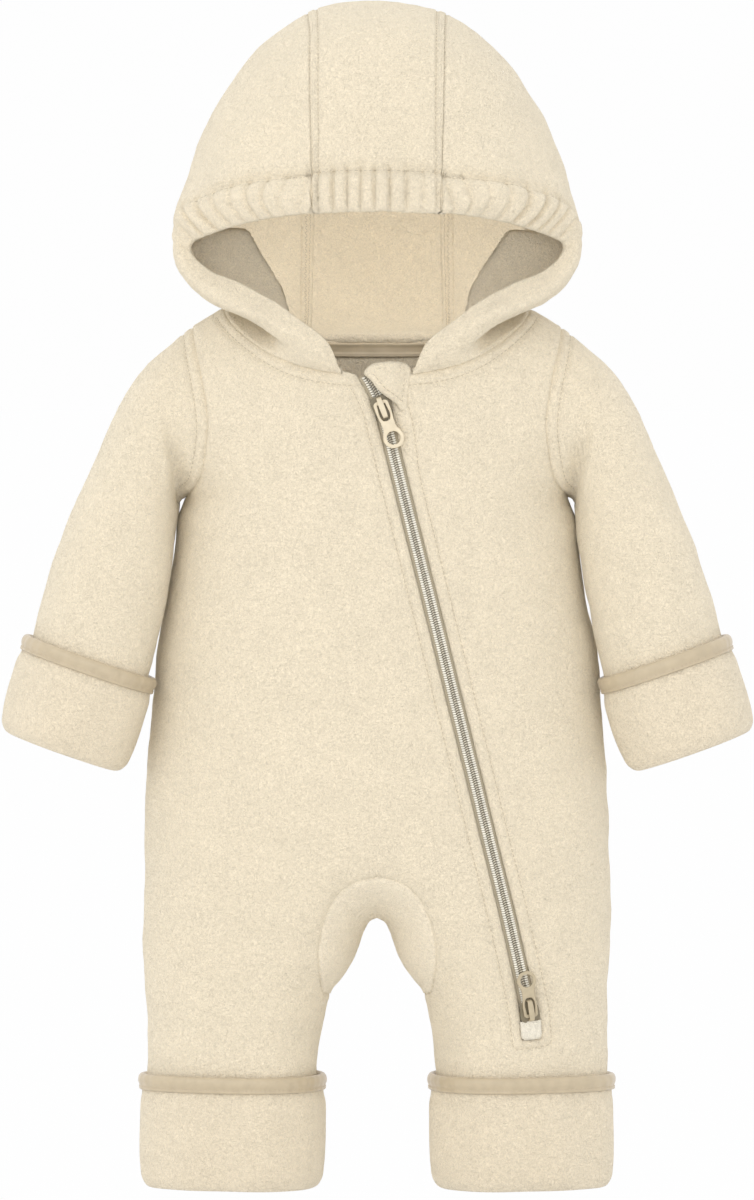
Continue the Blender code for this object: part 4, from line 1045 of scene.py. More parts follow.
def rod(lines):
    """A closed solid from the lines of points that run along it, in order round its section."""
    rows = np.array(lines).transpose(1, 0, 2)
    return facing_out(rows.reshape(-1, 3), rod_triangles(*rows.shape[:2]))


# --- stitches -------------------------------------------------------------------------------

STITCH_PITCH, STITCH_LENGTH, STITCH_RADIUS = 3.1, 2.4, 0.27
STITCH_SIDES = 6
# A stitch's rings: share of its length, share of its radius, how far it sinks.
STITCH_RINGS = (
    (0.0, 0.3, 0.42), (0.12, 0.8, 0.16), (0.35, 1.0, 0.0),
    (0.65, 1.0, 0.0), (0.88, 0.8, 0.16), (1.0, 0.3, 0.42),
)


def stitches_between(starts, ends, normals, radius=STITCH_RADIUS):
    """One thread stitch from each start to each end, its ends sunk into the cloth."""
    run = ends - starts
    side = unit(np.cross(unit(run), normals))
    up = np.cross(side, unit(run))
    rings = []
    for share, size, sink in STITCH_RINGS:
        centre = starts + share * run + up * (radius * 0.6 - sink)
        for k in range(STITCH_SIDES):
            angle = 2 * np.pi * k / STITCH_SIDES
            rings.append(centre + radius * size * (np.cos(angle) * side + np.sin(angle) * up))
    points = np.array(rings).transpose(1, 0, 2)
    faces = rod_triangles(len(STITCH_RINGS), STITCH_SIDES)
    all_faces = faces[None] + (np.arange(len(points)) * points.shape[1])[:, None, None]
    return points.reshape(-1, 3), all_faces.reshape(-1, 3)


def along_line(points, normals, pitch=STITCH_PITCH, length=STITCH_LENGTH):
    """Starts, ends and normals of even stitches along a line of surface points."""
    run = run_length(points)
    first = np.arange(pitch * 0.3, run[-1] - length, pitch)
    starts, ends = read_at(first, run, points), read_at(first + length, run, points)
    return starts, ends, read_at(first + length / 2, run, normals)


def stitch_rows(panel, *names):
    """Starts, ends and normals of the stitches on a panel's named lines."""
    rows = [panel["lines"][name] for name in names]
    return [along_line(panel["outer"][row], panel["normals"][row]) for row in rows]


def add_stitches(name, groups, material, radius=STITCH_RADIUS):
    starts, ends, normals = (np.concatenate([group[i] for group in groups]) for i in range(3))
    return settle(add_mesh(name, *stitches_between(starts, ends, normals, radius)), material)


# --- cuffs and bindings ---------------------------------------------------------------------

BAND_HEIGHT = 7.8
CUFF_STAND = 1.4
LEG_CUFF, SLEEVE_CUFF = 64.5, 56.0
# Profile of a turned-back cuff: how far it stands out, and its distance from the cuff's edge as a
# share of the cuff's height. It goes down the outside, round the fold and up the inside.
CUFF_PROFILE = (
    (1.2, 0.0), (3.2, 0.012), (3.3, 0.06), (3.35, 0.16), (4.2, 0.22), (4.7, 0.4), (4.7, 0.62), (4.0, 0.80),
    (2.4, 0.93), (-0.6, 0.99), (-3.6, 1.0), (-6.2, 0.965), (-6.6, 0.89), (-5.0, 0.80), (-2.6, 0.72),
    (-2.3, 0.5),
    (-2.2, 0.26), (0.0, 0.24), (0.4, 0.5), (0.0, 0.75), (0.8, 0.4), (1.2, 0.0),
)


def leg_section():
    """The left leg's ring where its cuff starts."""
    flat = leg_row(LEG_HEM + HEM_TURN, 90)
    return np.concatenate([body_points(flat, -1), body_points(flat, 1)[::-1][1:-1]])


def closed_resampled(ring, count):
    """A closed ring with evenly spaced points."""
    loop = np.concatenate([ring, ring[:1]])
    length = run_length(loop)
    return read_at(np.arange(count) / count * length[-1], length, loop)


def ring_normals(ring, away):
    """Outward normals of a tube's ring, square to the way the tube runs."""
    normals = unit(np.cross(np.roll(ring, -2, 0) - np.roll(ring, 2, 0), away))
    return normals * np.sign(np.einsum("ij,ij->i", normals, ring - ring.mean(0)).sum())


def sweep(ring, normals, profile, away, push):
    """A profile of (out, along) swept round a ring; push moves points by angle and place."""
    profile = np.asarray(profile, float)
    around = np.arange(len(ring)) / len(ring)
    out = profile[:, 0, None] + push(around[None, :], profile[:, 1, None])
    points = ring[None] + out[..., None] * normals[None] + profile[:, 1, None, None] * np.array(away)
    triangles = grid_triangles(len(profile) + 1, len(ring), closed=True) % (len(profile) * len(ring))
    return points, triangles


def ripple(around, count, phase):
    return np.sin(2 * np.pi * count * around + phase)


def cuff_push(seed, height):
    """Unevenness of a cuff, and small pleats where its binding is sewn on."""
    rng = np.random.default_rng(seed)
    waves = [(rng.integers(3, 9), rng.uniform(0, 6.28), rng.uniform(0, 6.28)) for _ in range(5)]
    pleats = [(rng.integers(22, 40), rng.uniform(0, 6.28)) for _ in range(3)]

    def push(around, down):
        slow = sum(0.28 * ripple(around, n, a + 1.2 * np.sin(down / height * 3 + b)) for n, a, b in waves)
        near_band = np.exp(-np.maximum(down - BAND_HEIGHT, 0) / 6.0) * (down > BAND_HEIGHT)
        sewn = sum(0.13 * ripple(around, *pleat) for pleat in pleats)
        return slow * np.clip((down - 4) / 12, 0, 1) + near_band * sewn

    return push


def band_push(seed):
    rng = np.random.default_rng(seed)
    waves = [(rng.integers(18, 52), rng.uniform(0, 6.28), rng.uniform(-0.3, 0.3)) for _ in range(6)]
    return lambda around, down: sum(0.05 * ripple(around, n, a + tilt * down) for n, a, tilt in waves)


# Section of a binding folded over the cuff's edge, from the cuff's inner or outer face and from its
# edge: face (0 inner, 1 outer), how far out, distance along.
BINDING_IN, BINDING_OUT = CUFF_STAND - 0.2, CUFF_STAND + FLEECE + 0.35
BINDING_PROFILE = (
    (0, 0, 6.0), (0, -0.5, 2.0), (0, 0, -0.4), (0, 1.2, -1.3), (1, -0.4, -1.2), (1, 0.7, -0.2),
    (1, 1.3, 1.6), (1, 1.2, 3.8), (1, 0.6, 5.6), (1, 0.85, 6.9), (1, 0.7, 7.7), (1, 0.1, 8.0),
    (1, -0.3, 6.0), (1, -0.3, 1.2), (0, 0.6, 1.2), (0, 0.4, 6.0), (0, 0, 6.0),
)
BINDING_STITCH = 5.6


def binding_section():
    rows = [((BINDING_IN, BINDING_OUT)[face] + out, distance) for face, out, distance in BINDING_PROFILE]
    return along(rows, np.linspace(0, 1, 44))


def cuff_section(height):
    """The cuff's profile, its top kept below the sleeve's or leg's own hem."""
    profile = along(np.array(CUFF_PROFILE) * [1, height], np.linspace(0, 1, 150))
    hidden = (profile[:, 0] < 0.9) & (profile[:, 1] < HEM_TURN + 2.5)
    profile[hidden, 1] = HEM_TURN + 2.5
    return profile


def add_cuffs(materials):
    groups, seed, band = [], 20, binding_section()
    rings = (
        ("leg", LEG_CUFF, leg_section(), (0, 0, -1.0), 300),
        ("sleeve", SLEEVE_CUFF, sleeve_rings()[-2], SLEEVE_WAY, 200),
    )
    for kind, height, ring, away, count in rings:
        ring = closed_resampled(ring, count)
        normals = ring_normals(ring, away)
        for side, word in ((1, "left"), (-1, "right")):
            seed += 1
            for part, profile, push, look in (
                ("cuff", cuff_section(height), cuff_push(seed, height), ("cloth", "cuff", "fleece")),
                ("binding", band, band_push(seed + 50), ("satin", "satin", "satin")),
            ):
                points, triangles = sweep(ring, normals, profile[:-1], away, push)
                points = points * [side, 1, 1]
                solid = facing_out(points.reshape(-1, 3), triangles)
                node = f"{kind}_{part}_{word}"
                add_sheet(f"{node}_{look[0]}", solid, materials[look[1]], node)
            row = int(np.argmax((band[:, 1] > BINDING_STITCH) & (band[:, 0] > BINDING_OUT)))
            line, ways = (np.concatenate([loop, loop[:1]]) for loop in (points[row], normals * [side, 1, 1]))
            groups.append(along_line(line, ways, 2.7, 2.0))
    add_stitches("binding_stitches", groups, materials["thread_tan"], 0.2)


# --- zip ------------------------------------------------------------------------------------

TOOTH_PITCH = 1.3
# Half the width of the chain's middle, where the teeth of both sides interlock; its darkness is painted
# shade, in the teeth's darker colour and the dark strip under the coil.
TEETH_HALF = 1.0
TAPE_OUT, TAPE_IN = -FLEECE - 0.2, -FLEECE - 0.9
PATCH_HALF = 6.0


def on_front(heights, offset, lift):
    """Points above the front beside the zip's line, and the normals there."""
    return on_cloth(beside_zip(heights, offset), -1, lift)


def strip(heights, offsets, tops, bottoms):
    """A closed strip on the front along the zip: sideways offsets, upper and lower faces."""
    profile = [*zip(offsets, tops), *zip(offsets[::-1], bottoms[::-1])]
    return rod([on_front(heights, offset, lift)[0] for offset, lift in profile])


def add_zip(materials):
    heights = zip_heights(TAPE_TOP_Z, ZIP[-1][1], 2.5)
    for side, word in ((1, "left"), (-1, "right")):
        offsets = side * np.array([0.25, 1.4, SLIT_HALF, TAPE_HALF])
        solid = strip(heights, offsets, [TAPE_OUT] * 4, [TAPE_IN] * 4)
        node = f"zip_tape_{word}"
        add_sheet(f"{node}_weave", solid, materials["tape"], node, 0.9)
    heights = np.arange(CHAIN_TOP_Z, CHAIN_END_Z - 1, -TOOTH_PITCH)
    starts, ends, ways = [], [], []
    for side, shift in ((1, 0.0), (-1, TOOTH_PITCH / 2)):
        inner, normals = on_front(heights - shift, side * TEETH_HALF, -0.5)
        outer, _ = on_front(heights - shift + 0.25, side * CHAIN_HALF, -0.75)
        starts.append(inner)
        ends.append(outer)
        ways.append(normals)
    coil = stitches_between(np.concatenate(starts), np.concatenate(ends), np.concatenate(ways), 0.56)
    left, normals = on_front(heights - 0.3, -TEETH_HALF, -0.75)
    right, _ = on_front(heights + 0.3, TEETH_HALF, -0.75)
    teeth = stitches_between(left, right, normals, 0.4)
    settle(add_mesh("zip_teeth_shaded", *teeth), materials["teeth"])
    cord_heights = zip_heights(CHAIN_TOP_Z, CHAIN_END_Z, 2.5)
    # A dark strip under the coil, seen between its loops: painted shade.
    shade_strip = strip(cord_heights, [-2.6, -0.9, 0, 0.9, 2.6], [-1.2, -1.0, -1.5, -1.0, -1.2], [-1.9] * 5)
    settle(add_mesh("zip_coil", *coil), materials["coil"], "zip_chain")
    settle(add_mesh("zip_coil_shade_strip", *shade_strip), materials["shade_strip"])
    add_end_patch(materials["patch"])


def add_end_patch(material):
    """Small padded patch over the zip's lower end, rounded below, its top under the slider."""
    heights = np.linspace(PATCH_TOP_Z + 2.0, PATCH_END_Z - 0.8, 22)
    drop = np.clip((PATCH_END_Z + 2.4 - heights) / 3.2, 0, 0.97)
    half = PATCH_HALF * (1 - 0.45 * (1 - np.sqrt(1 - drop**2)))
    ends = np.minimum(heights - heights[-1], 1.6) / 1.6
    across = np.linspace(-1, 1, 15)
    lines = [on_front(heights, x * half, 0.25 + 1.5 * (1 - x**6) * ends**0.5)[0] for x in across]
    lines += [on_front(heights, x * half, 0.05)[0] for x in across[::-1]]
    add_sheet("zip_end_patch_cloth", rod(lines), material, "zip_end_patch")


def slider_frame(z):
    """Place, and sideways, outward and downward ways, on the front at a height of the zip."""
    line = beside_zip(np.array([z + 4, z, z - 4]), 0)
    place = on_cloth(line, -1, 0)[0]
    down = unit(place[2] - place[0])
    side = unit(np.cross(body_normals(line[1:2], -1)[0], down))
    return place[1], side, np.cross(down, side), down


def laid(frame, local):
    """World points from (sideways, outward, downward) ones."""
    place, side, out, down = frame
    local = np.asarray(local, float)
    return place + local[:, :1] * side + local[:, 1:2] * out + local[:, 2:] * down


# Slider: width and length of its plate, how high it stands, its bridge.
PLATE_WIDTH, PLATE_LENGTH = 11.4, 14.0
PLATE_LOW, PLATE_TOP = 0.7, 1.6
FLANGE_LOW, FLANGE_IN, FLANGE_OUT = -2.1, 3.6, 5.1
BRIDGE_WIDTH, BRIDGE_START, BRIDGE_END, BRIDGE_TOP, BRIDGE_BAR = 3.3, -3.2, 9.0, 5.5, 1.1
PIVOT_HEIGHT = 3.05
PULL_THICK = 1.2
# Pull tab outlines, from the pivot: (half width, distance) down one side.
PULL_SIDE = (
    (0, -0.95), (3.0, -0.95), (4.0, -0.2), (4.4, 3), (4.3, 8), (3.9, 12), (4.1, 16), (5.2, 18.4), (6.0, 21.4),
    (5.2, 24.4), (3.0, 26.6), (0, 27.4),
)
PULL_SLOT = ((2.4, 0.9), (2.5, 2.0), (2.5, 9.4), (1.8, 10.6), (0, 11.0), (0, 0.9))
PULL_HOLE, PULL_HOLE_AT = 3.9, 21.4
LOWER_PULL_SCALE = 0.95


def bevelled(mesh, width, segments=3, angle=0.5):
    """Rounds a mesh's sharp edges."""
    build = bmesh.new()
    build.from_mesh(mesh)
    bmesh.ops.recalc_face_normals(build, faces=build.faces)
    sharp = [edge for edge in build.edges if len(edge.link_faces) == 2 and edge.calc_face_angle() > angle]
    bmesh.ops.bevel(build, geom=sharp, offset=width * MM, segments=segments, profile=0.5, affect="EDGES")
    build.to_mesh(mesh)
    build.free()


def plate_points(outline, low, high):
    """A flat plate from an outline of (sideways, down): its points and polygon faces."""
    count = len(outline)
    points = [(x, y, z) for y in (low, high) for x, z in outline]
    faces = [tuple(range(count)), tuple(range(2 * count - 1, count - 1, -1))]
    faces += [(i, i + count, (i + 1) % count + count, (i + 1) % count) for i in range(count)]
    return np.array(points, float), faces


def box_points(low, high):
    outline = [(low[0], low[2]), (high[0], low[2]), (high[0], high[2]), (low[0], high[2])]
    return plate_points(outline, low[1], high[1])


def bridge_points():
    """The slider's arched bridge, swept along its arch as a rounded bar."""
    half, bar = BRIDGE_WIDTH / 2, BRIDGE_BAR
    arch = along(
        (
            (BRIDGE_START + 0.6, PLATE_LOW + 0.3), (BRIDGE_START + 0.5, 3.0), (BRIDGE_START + 1.2, 4.5),
            (BRIDGE_START + 3.2, BRIDGE_TOP - 0.55), (3.4, BRIDGE_TOP - 0.55),
            (BRIDGE_END - 2.6, BRIDGE_TOP - 0.8), (BRIDGE_END - 0.9, 4.2),
            (BRIDGE_END - 0.5, 2.6), (BRIDGE_END - 0.5, PLATE_LOW + 0.3),
        ),
        np.linspace(0, 1, 40),
    )
    angle = (np.arange(16) + 0.5) / 16 * 2 * np.pi
    corner = [np.abs(part) ** 0.5 * np.sign(part) for part in (np.cos(angle), np.sin(angle))]
    rings = []
    for place, way in zip(arch, left_of(np.gradient(arch, axis=0))):
        swell = half * (0.82 + 0.18 * np.sin(np.pi * np.clip((place[0] + 3.2) / 12, 0, 1)))
        thick = corner[1] * bar / 2
        rings.append(np.stack([corner[0] * swell, place[1] + thick * way[1], place[0] + thick * way[0]], 1))
    points = np.concatenate(rings)
    faces = [tuple(face) for face in grid_triangles(len(rings), 16, closed=True)]
    return points, faces


def add_slider(name, node, z, flip, materials):
    """Plate over the chain, flanges at its sides and a bridge for the pull tab; the plate and flanges take
    the first material, dark with painted shade, and the bridge takes the second.
    """
    place = slider_frame(z)
    half, length = PLATE_WIDTH / 2, PLATE_LENGTH
    outline = along(
        (
            (0, -4.2), (half - 1.8, -4.0), (half - 0.2, -2.2), (half, 1.0), (half - 0.3, 4.2),
            (3.6, length - 5.6), (2.3, length - 4.1), (0, length - 3.9),
        ),
        np.linspace(0, 1, 26),
    )
    outline = np.concatenate([outline, mirror(outline)[::-1][1:-1]])
    parts = [(plate_points(outline, PLATE_LOW, PLATE_TOP), 0.45)]
    for inner, outer in ((-FLANGE_OUT, -FLANGE_IN), (FLANGE_IN, FLANGE_OUT)):
        parts.append((box_points((inner, FLANGE_LOW, -2), (outer, PLATE_TOP - 0.3, 4)), 0.4))
    build = bmesh.new()
    for (points, faces), width in parts:
        mesh = bpy.data.meshes.new(f"{name}_part")
        mesh.from_pydata((laid(place, points * [1, 1, flip]) * MM).tolist(), [], faces)
        bevelled(mesh, width)
        build.from_mesh(mesh)
        bpy.data.meshes.remove(mesh)
    bmesh.ops.recalc_face_normals(build, faces=build.faces)
    whole = bpy.data.meshes.new(name)
    build.to_mesh(whole)
    build.free()
    whole.shade_smooth()
    whole.set_sharp_from_angle(angle=0.8)
    settle(linked(name, whole), materials[0], node)
    points, faces = bridge_points()
    bridge = add_mesh(f"{name}_bridge", laid(place, points * [1, 1, flip]), faces)
    settle(bridge, materials[1])


def add_pull(name, node, z, flip, scale, material, body_name):
    """Flat tab with a slot round the bridge and a round hole, its edges rounded."""
    place = slider_frame(z)
    right = along(PULL_SIDE, np.linspace(0, 1, 60)) * scale
    right[0, 0] = right[-1, 0] = 0
    outline = np.concatenate([right, mirror(right)[::-1][1:-1]])
    slot = np.array(PULL_SLOT[:5], float) * [1, scale]
    slot = along(slot, np.linspace(0, 1, 24))
    window = np.concatenate([slot, mirror(slot)[::-1][1:]])
    angle = np.arange(40) / 40 * 2 * np.pi
    hole = np.stack([PULL_HOLE * np.cos(angle), PULL_HOLE * np.sin(angle) + PULL_HOLE_AT], 1) * scale
    loops = [outline, window, hole]
    flat = np.concatenate(loops)
    triangles, edges = triangulated(flat, loops)
    middles = flat[triangles].mean(1)
    triangles = triangles[inside(middles, outline) & ~inside(middles, window) & ~inside(middles, hole)]
    count = len(flat)
    low, high = PIVOT_HEIGHT - PULL_THICK / 2, PIVOT_HEIGHT + PULL_THICK / 2
    points = [(x, y, z_at * flip) for y in (low, high) for x, z_at in flat]
    faces = [tuple(face) for face in triangles] + [tuple(face[::-1] + count) for face in triangles]
    faces += [(a, a + count, b + count, b) for a, b in edges]
    mesh = bpy.data.meshes.new(name)
    mesh.from_pydata((laid(place, points) * MM).tolist(), [], faces)
    bevelled(mesh, 0.38, 3, 1.0)
    mesh.shade_smooth()
    mesh.set_sharp_from_angle(angle=1.2)
    settle(linked(name, mesh), material, node, body_name)


GUARD_LOW, GUARD_HIGH, GUARD_THICK = -1.5, 2.9, 2.4


def guard_lift(points):
    """How far the guard lies off the front: over the slider at its left, let in at its right."""
    return GUARD_LOW + (GUARD_HIGH - GUARD_LOW) * ease((17 - points[:, 0]) / 9)


def add_guard(material):
    """The fleece flap over the top of the zip, lying on the front and over the slider."""
    outline = np.array(GUARD, float)
    loop = np.concatenate([outline, outline[:1]])
    loop = resampled(along(loop, np.linspace(0, 1, 300)), 1.0)[:-1]
    rows = [offset_loop(loop, distance) for distance in (0.5, 1.2, 2.2)]
    points, triangles = fill(loop, 1.5, rows)
    from_rim = clearance(points, loop)
    from_rim[: len(loop)] = 0
    round_off = 1.1 * (1 - np.sqrt(np.clip(1 - (1 - np.clip(from_rim / 2.2, 0, 1)) ** 2, 0, 1)))
    stitch = 0.45 * np.exp(-(((from_rim - 2.9) / 0.7) ** 2))
    outer, normals = on_cloth(points, -1, guard_lift(points) + GUARD_THICK)
    panel = {
        "points": outer - normals * uneven(body_points(points, -1))[:, None],
        "triangles": triangles,
        "normals": normals,
        "rim": rim_edges(triangles),
        "depth": round_off + stitch,
        "lines": {},
    }
    add_sheet("zip_guard_cloth", facing_out(*wall(panel, GUARD_THICK)), material, "zip_guard")
    line = offset_loop(loop, 2.9)
    return along_line(*on_cloth(line, -1, guard_lift(line) + GUARD_THICK - 0.45))


def add_neck_tape(material):
    """Tape over the back neck seam, on the inside of the back panel, with two raised edges."""
    middle, side = neck_back()
    line = both_sides(resampled(np.concatenate([middle, side[1:16]]), 2.0))
    drops = (1.0, 1.4, 2.2, 3.0, 4.5, 6.0, 7.2, 7.8, 8.4, 8.8, 9.2, 9.6)
    lifts = (0.2, 0.7, 0.9, 0.5, 0.45, 0.5, 0.5, 1.1, 0.6, 1.1, 0.9, 0.2)
    section = [*zip(drops, lifts), *((drop, 0) for drop in drops[::-1])]
    lines = [on_cloth(line - [0, drop], 1, -FLEECE - 0.1 - lift)[0] for drop, lift in section]
    add_sheet("neck_tape_satin", rod(lines), material, "neck_tape")


# --- fleece panels --------------------------------------------------------------------------

HEM_FADE = 4.0


def add_panels(materials):
    panels = {
        "front": front(),
        "back": back(),
        "gusset": gusset(),
        "sleeve_left": sleeve(1),
        "sleeve_right": sleeve(-1),
        "hood_centre": hood_centre(),
        "hood_side_left": hood_side(1),
        "hood_side_right": hood_side(-1),
    }
    for panel in panels.values():
        weld(panel)
    share_normals(panels)
    for name, panel in panels.items():
        thickness = np.full(len(panel["points"]), FLEECE)
        if "from_edge" in panel:
            thickness += HEM_EXTRA * np.clip((HEM_DEPTH - panel["from_edge"]) / HEM_FADE, 0, 1)
        # The gusset takes its lighter fleece, which has painted light; the other panels take the body's
        # fleece.
        material = materials.get(name, materials["fleece"])
        add_sheet(f"{name}_cloth", wall(panel, thickness), material, name)
    return panels


def add_hood_bands(panels, material):
    """Seam allowances inside the hood, held down by zigzag stitching."""
    centre = panels["hood_centre"]
    groups = []
    for side, word in ((1, "left"), (-1, "right")):
        flank = panels[f"hood_side_{word}"]
        stations = min(len(flank["seam_rows"]), len(centre["seam_rows"][side]))
        outer_side = flank["seam_rows"][:stations, ::-1]
        centre_side = centre["seam_rows"][side][:stations]
        order = [(flank, row) for row in outer_side.T[:3]] + [(centre, row) for row in centre_side.T[:3]]
        rows = []
        for (panel, index), lift in zip(order + order[::-1], (0.1, 1.3, 1.0, 1.0, 1.3, 0.1, *[-0.4] * 6)):
            rows.append((panel["inner"][index] - panel["normals"][index] * lift)[2:-1])
        settle(add_mesh(f"hood_seam_{word}", *rod(rows)), material)
        normals = -centre["normals"][centre_side[:, 0]][2:-1]
        for a, b in ((rows[1], rows[2]), (rows[4], rows[3])):
            groups.append(zigzag(a + 0.035 * (b - a), a + 0.9 * (b - a), normals, 1.5))
    return groups


def zigzag(one, other, normals, pitch):
    """Starts, ends and normals of thread going to and fro between two lines."""
    run = run_length(one)
    at = np.arange(0, run[-1], pitch)
    first, second, way = (read_at(at, run, values) for values in (one, other, normals))
    nodes = np.where((np.arange(len(at)) % 2 == 0)[:, None], first, second)
    return nodes[:-1], nodes[1:], way[:-1]


# --- materials ------------------------------------------------------------------------------

# Kinds of surface: tones (pattern, darkest, lightest), bumps laid one upon another (pattern,
# strength, height in mm), and the shader's settings. The tape's pattern is a wave, the others' noise.
PATTERN_INPUTS = ("Scale", "Detail", "Distortion", "Roughness")
SHADER_INPUTS = ("Roughness", "Specular IOR Level", "Sheen Weight", "Sheen Roughness", "Sheen Tint")
SURFACES = {
    "fleece": (
        (((45, 3), 0.975, 1.02), ((640, 3, 2.2, 0.6), 0.80, 1.12)),
        (((300, 2, 0.8), 0.9, 1.2), ((700, 3, 1.8, 0.65), 1.0, 1.1)),
        (0.95, 0.15, 0.8, 0.55, (1.0, 0.93, 0.76, 1)),
    ),
    "satin": ([((160, 2), 0.94, 1.05)], (((330, 2), 0.35, 0.2), ((1400, 1), 0.25, 0.1)), (0.42, 0.5, 0.15)),
    "tape": ([((420, 2, 1.0), 0.9, 1.06)], [((420, 2, 1.0), 0.5, 0.2)], [0.85]),
    "coil": ([((300, 2), 0.9, 1.08)], [], (0.32, 0.55)),
    "metal": ([((260, 3), 0.92, 1.06)], [((900, 2), 0.15, 0.08)], []),
    "thread": ([((1500, 2), 0.88, 1.08)], [((2400, 1), 0.4, 0.1)], [0.6]),
}
# Each material's name, kind and colour, and the roughness of metal, which varies over it.
MATERIALS = {
    "fleece": ("fleece", "fleece", (0.89, 0.775, 0.572)),
    # The gusset's fleece is the body's fleece made lighter: painted light on the gusset, which faces the
    # front.
    "gusset": ("gusset_fleece_painted_light", "fleece", (0.955, 0.84, 0.635)),
    # The cuffs' fleece is the body's fleece made darker and warmer: painted shade on the turned-back cuffs.
    "cuff": ("cuff_fleece_painted_shade", "fleece", (0.865, 0.745, 0.545)),
    "satin": ("satin", "satin", (0.50, 0.41, 0.27)),
    "patch": ("patch_cloth", "fleece", (0.93, 0.86, 0.70)),
    "tape": ("zip_tape", "tape", (0.54, 0.465, 0.325)),
    "coil": ("zip_coil", "coil", (0.84, 0.80, 0.68)),
    # The teeth and the strip under the coil are darkened copies of the coil's colour: painted shade in the
    # chain's middle.
    "teeth": ("zip_teeth_shaded", "coil", (0.60, 0.54, 0.42)),
    "shade_strip": ("zip_coil_shade_strip", "coil", (0.22, 0.19, 0.13)),
    "metal": ("metal", "metal", (0.70, 0.60, 0.42), 0.38),
    "metal_dark": ("metal_dark", "metal", (0.48, 0.40, 0.26), 0.4),
    # Near-black metal for the sliders' plates and flanges: painted shade round the pull tab and under its
    # slot.
    "metal_painted_shade": ("metal_painted_shade", "metal", (0.20, 0.165, 0.10), 0.45),
    # The topstitching thread is darker than the cream thread it stands for: painted shade along the stitch
    # lines.
    "thread": ("thread", "thread", (0.62, 0.53, 0.38)),
    "thread_tan": ("thread_tan", "thread", (0.52, 0.43, 0.30)),
}


def new_material(name):
    made = bpy.data.materials.new(name)
    made.use_nodes = True
    return made, made.node_tree.nodes, made.node_tree.links, made.node_tree.nodes["Principled BSDF"]


def make_material(name, kind, colour, roughness=None):
    """A material of one kind, its colour darkened and lightened by the kind's tones."""
    made, nodes, links, shader = new_material(name)
    source = nodes.new("ShaderNodeTexCoord").outputs["Object"]
    woven = kind == "tape"
    tones, bumps, settings = SURFACES[kind]

    def pattern(numbers):
        node = nodes.new("ShaderNodeTexWave" if woven else "ShaderNodeTexNoise")
        if woven:
            node.bands_direction = "DIAGONAL"
        for key, number in zip(PATTERN_INPUTS, numbers):
            node.inputs[key].default_value = number
        links.new(source, node.inputs["Vector"])
        return node.outputs["Fac"]

    def ranged(numbers, low, high):
        node = nodes.new("ShaderNodeMapRange")
        limits = (0, 1, low, high) if woven else (0.3, 0.7, low, high)
        for key, number in zip(("From Min", "From Max", "To Min", "To Max"), limits):
            node.inputs[key].default_value = number
        links.new(pattern(numbers), node.inputs["Value"])
        return node.outputs["Result"]

    shade = None
    for tone in tones:
        node = nodes.new("ShaderNodeVectorMath")
        node.operation = "SCALE"
        node.inputs[0].default_value = colour
        if shade:
            links.new(shade, node.inputs[0])
        links.new(ranged(*tone), node.inputs["Scale"])
        shade = node.outputs["Vector"]
    links.new(shade, shader.inputs["Base Color"])
    normal = None
    for numbers, strength, height in bumps:
        node = nodes.new("ShaderNodeBump")
        node.inputs["Strength"].default_value = strength
        node.inputs["Distance"].default_value = height * MM
        links.new(pattern(numbers), node.inputs["Height"])
        if normal:
            links.new(normal, node.inputs["Normal"])
        normal = node.outputs["Normal"]
    if normal:
        links.new(normal, shader.inputs["Normal"])
    for key, value in zip(SHADER_INPUTS, settings):
        shader.inputs[key].default_value = value
    if roughness:
        links.new(ranged((500, 3), roughness - 0.06, roughness + 0.1), shader.inputs["Roughness"])
    return made


# --- floor, light and camera ----------------------------------------------------------------

FLOOR_Z = -560.0
WORLD_LIGHT = 1.18
LIGHT_COLOUR = (0.985, 0.99, 1.02)
# Area lights: place, size, power and aim. The last one brightens the inside of the hood.
LIGHTS = {
    "key": ((-1.8, -2.2, 1.2), (1.2, 1.2), 10, (0, 0, -0.15)),
    "front": ((0.1, -4.5, 0.75), (1.4, 0.9), 17, (0, 0, -0.15)),
    "hood": ((0, 0.005, 0.06), (0.13, 0.05), 0.072, (0, 0.08, 0.06)),
}
CAMERA_AWAY, CAMERA_HEIGHT = 6000.0, 40.0
PHOTO_WIDTH, PHOTO_HEIGHT = 754, 1200
MM_PER_PIXEL, PHOTO_MIDDLE_X, PHOTO_ORIGIN_Y = 0.575, 377.0, 345.0
SCALE_DEPTH = -22.0


def seen_by_camera(nodes, links, seen, other):
    """A shader that the camera sees as one thing and every other ray as another."""
    path = nodes.new("ShaderNodeLightPath")
    mix = nodes.new("ShaderNodeMixShader")
    links.new(path.outputs["Is Camera Ray"], mix.inputs["Fac"])
    links.new(other, mix.inputs[1])
    links.new(seen, mix.inputs[2])
    return mix.outputs[0]


def add_floor():
    build = bmesh.new()
    bmesh.ops.create_grid(build, x_segments=1, y_segments=1, size=40)
    mesh = bpy.data.meshes.new("floor")
    build.to_mesh(mesh)
    build.free()
    floor = linked("floor", mesh)
    floor.location = (0, 0, FLOOR_Z * MM)
    made, nodes, links, shader = new_material("floor")
    shader.inputs["Base Color"].default_value = (0.9, 0.9, 0.9, 1)
    shader.inputs["Roughness"].default_value = 0.9
    glow = nodes.new("ShaderNodeEmission")
    glow.inputs["Strength"].default_value = 0.99
    blend = nodes.new("ShaderNodeMixShader")
    blend.inputs["Fac"].default_value = 0.97
    links.new(shader.outputs["BSDF"], blend.inputs[1])
    links.new(glow.outputs[0], blend.inputs[2])
    out = seen_by_camera(nodes, links, blend.outputs[0], shader.outputs["BSDF"])
    links.new(out, nodes["Material Output"].inputs["Surface"])
    floor.data.materials.append(made)


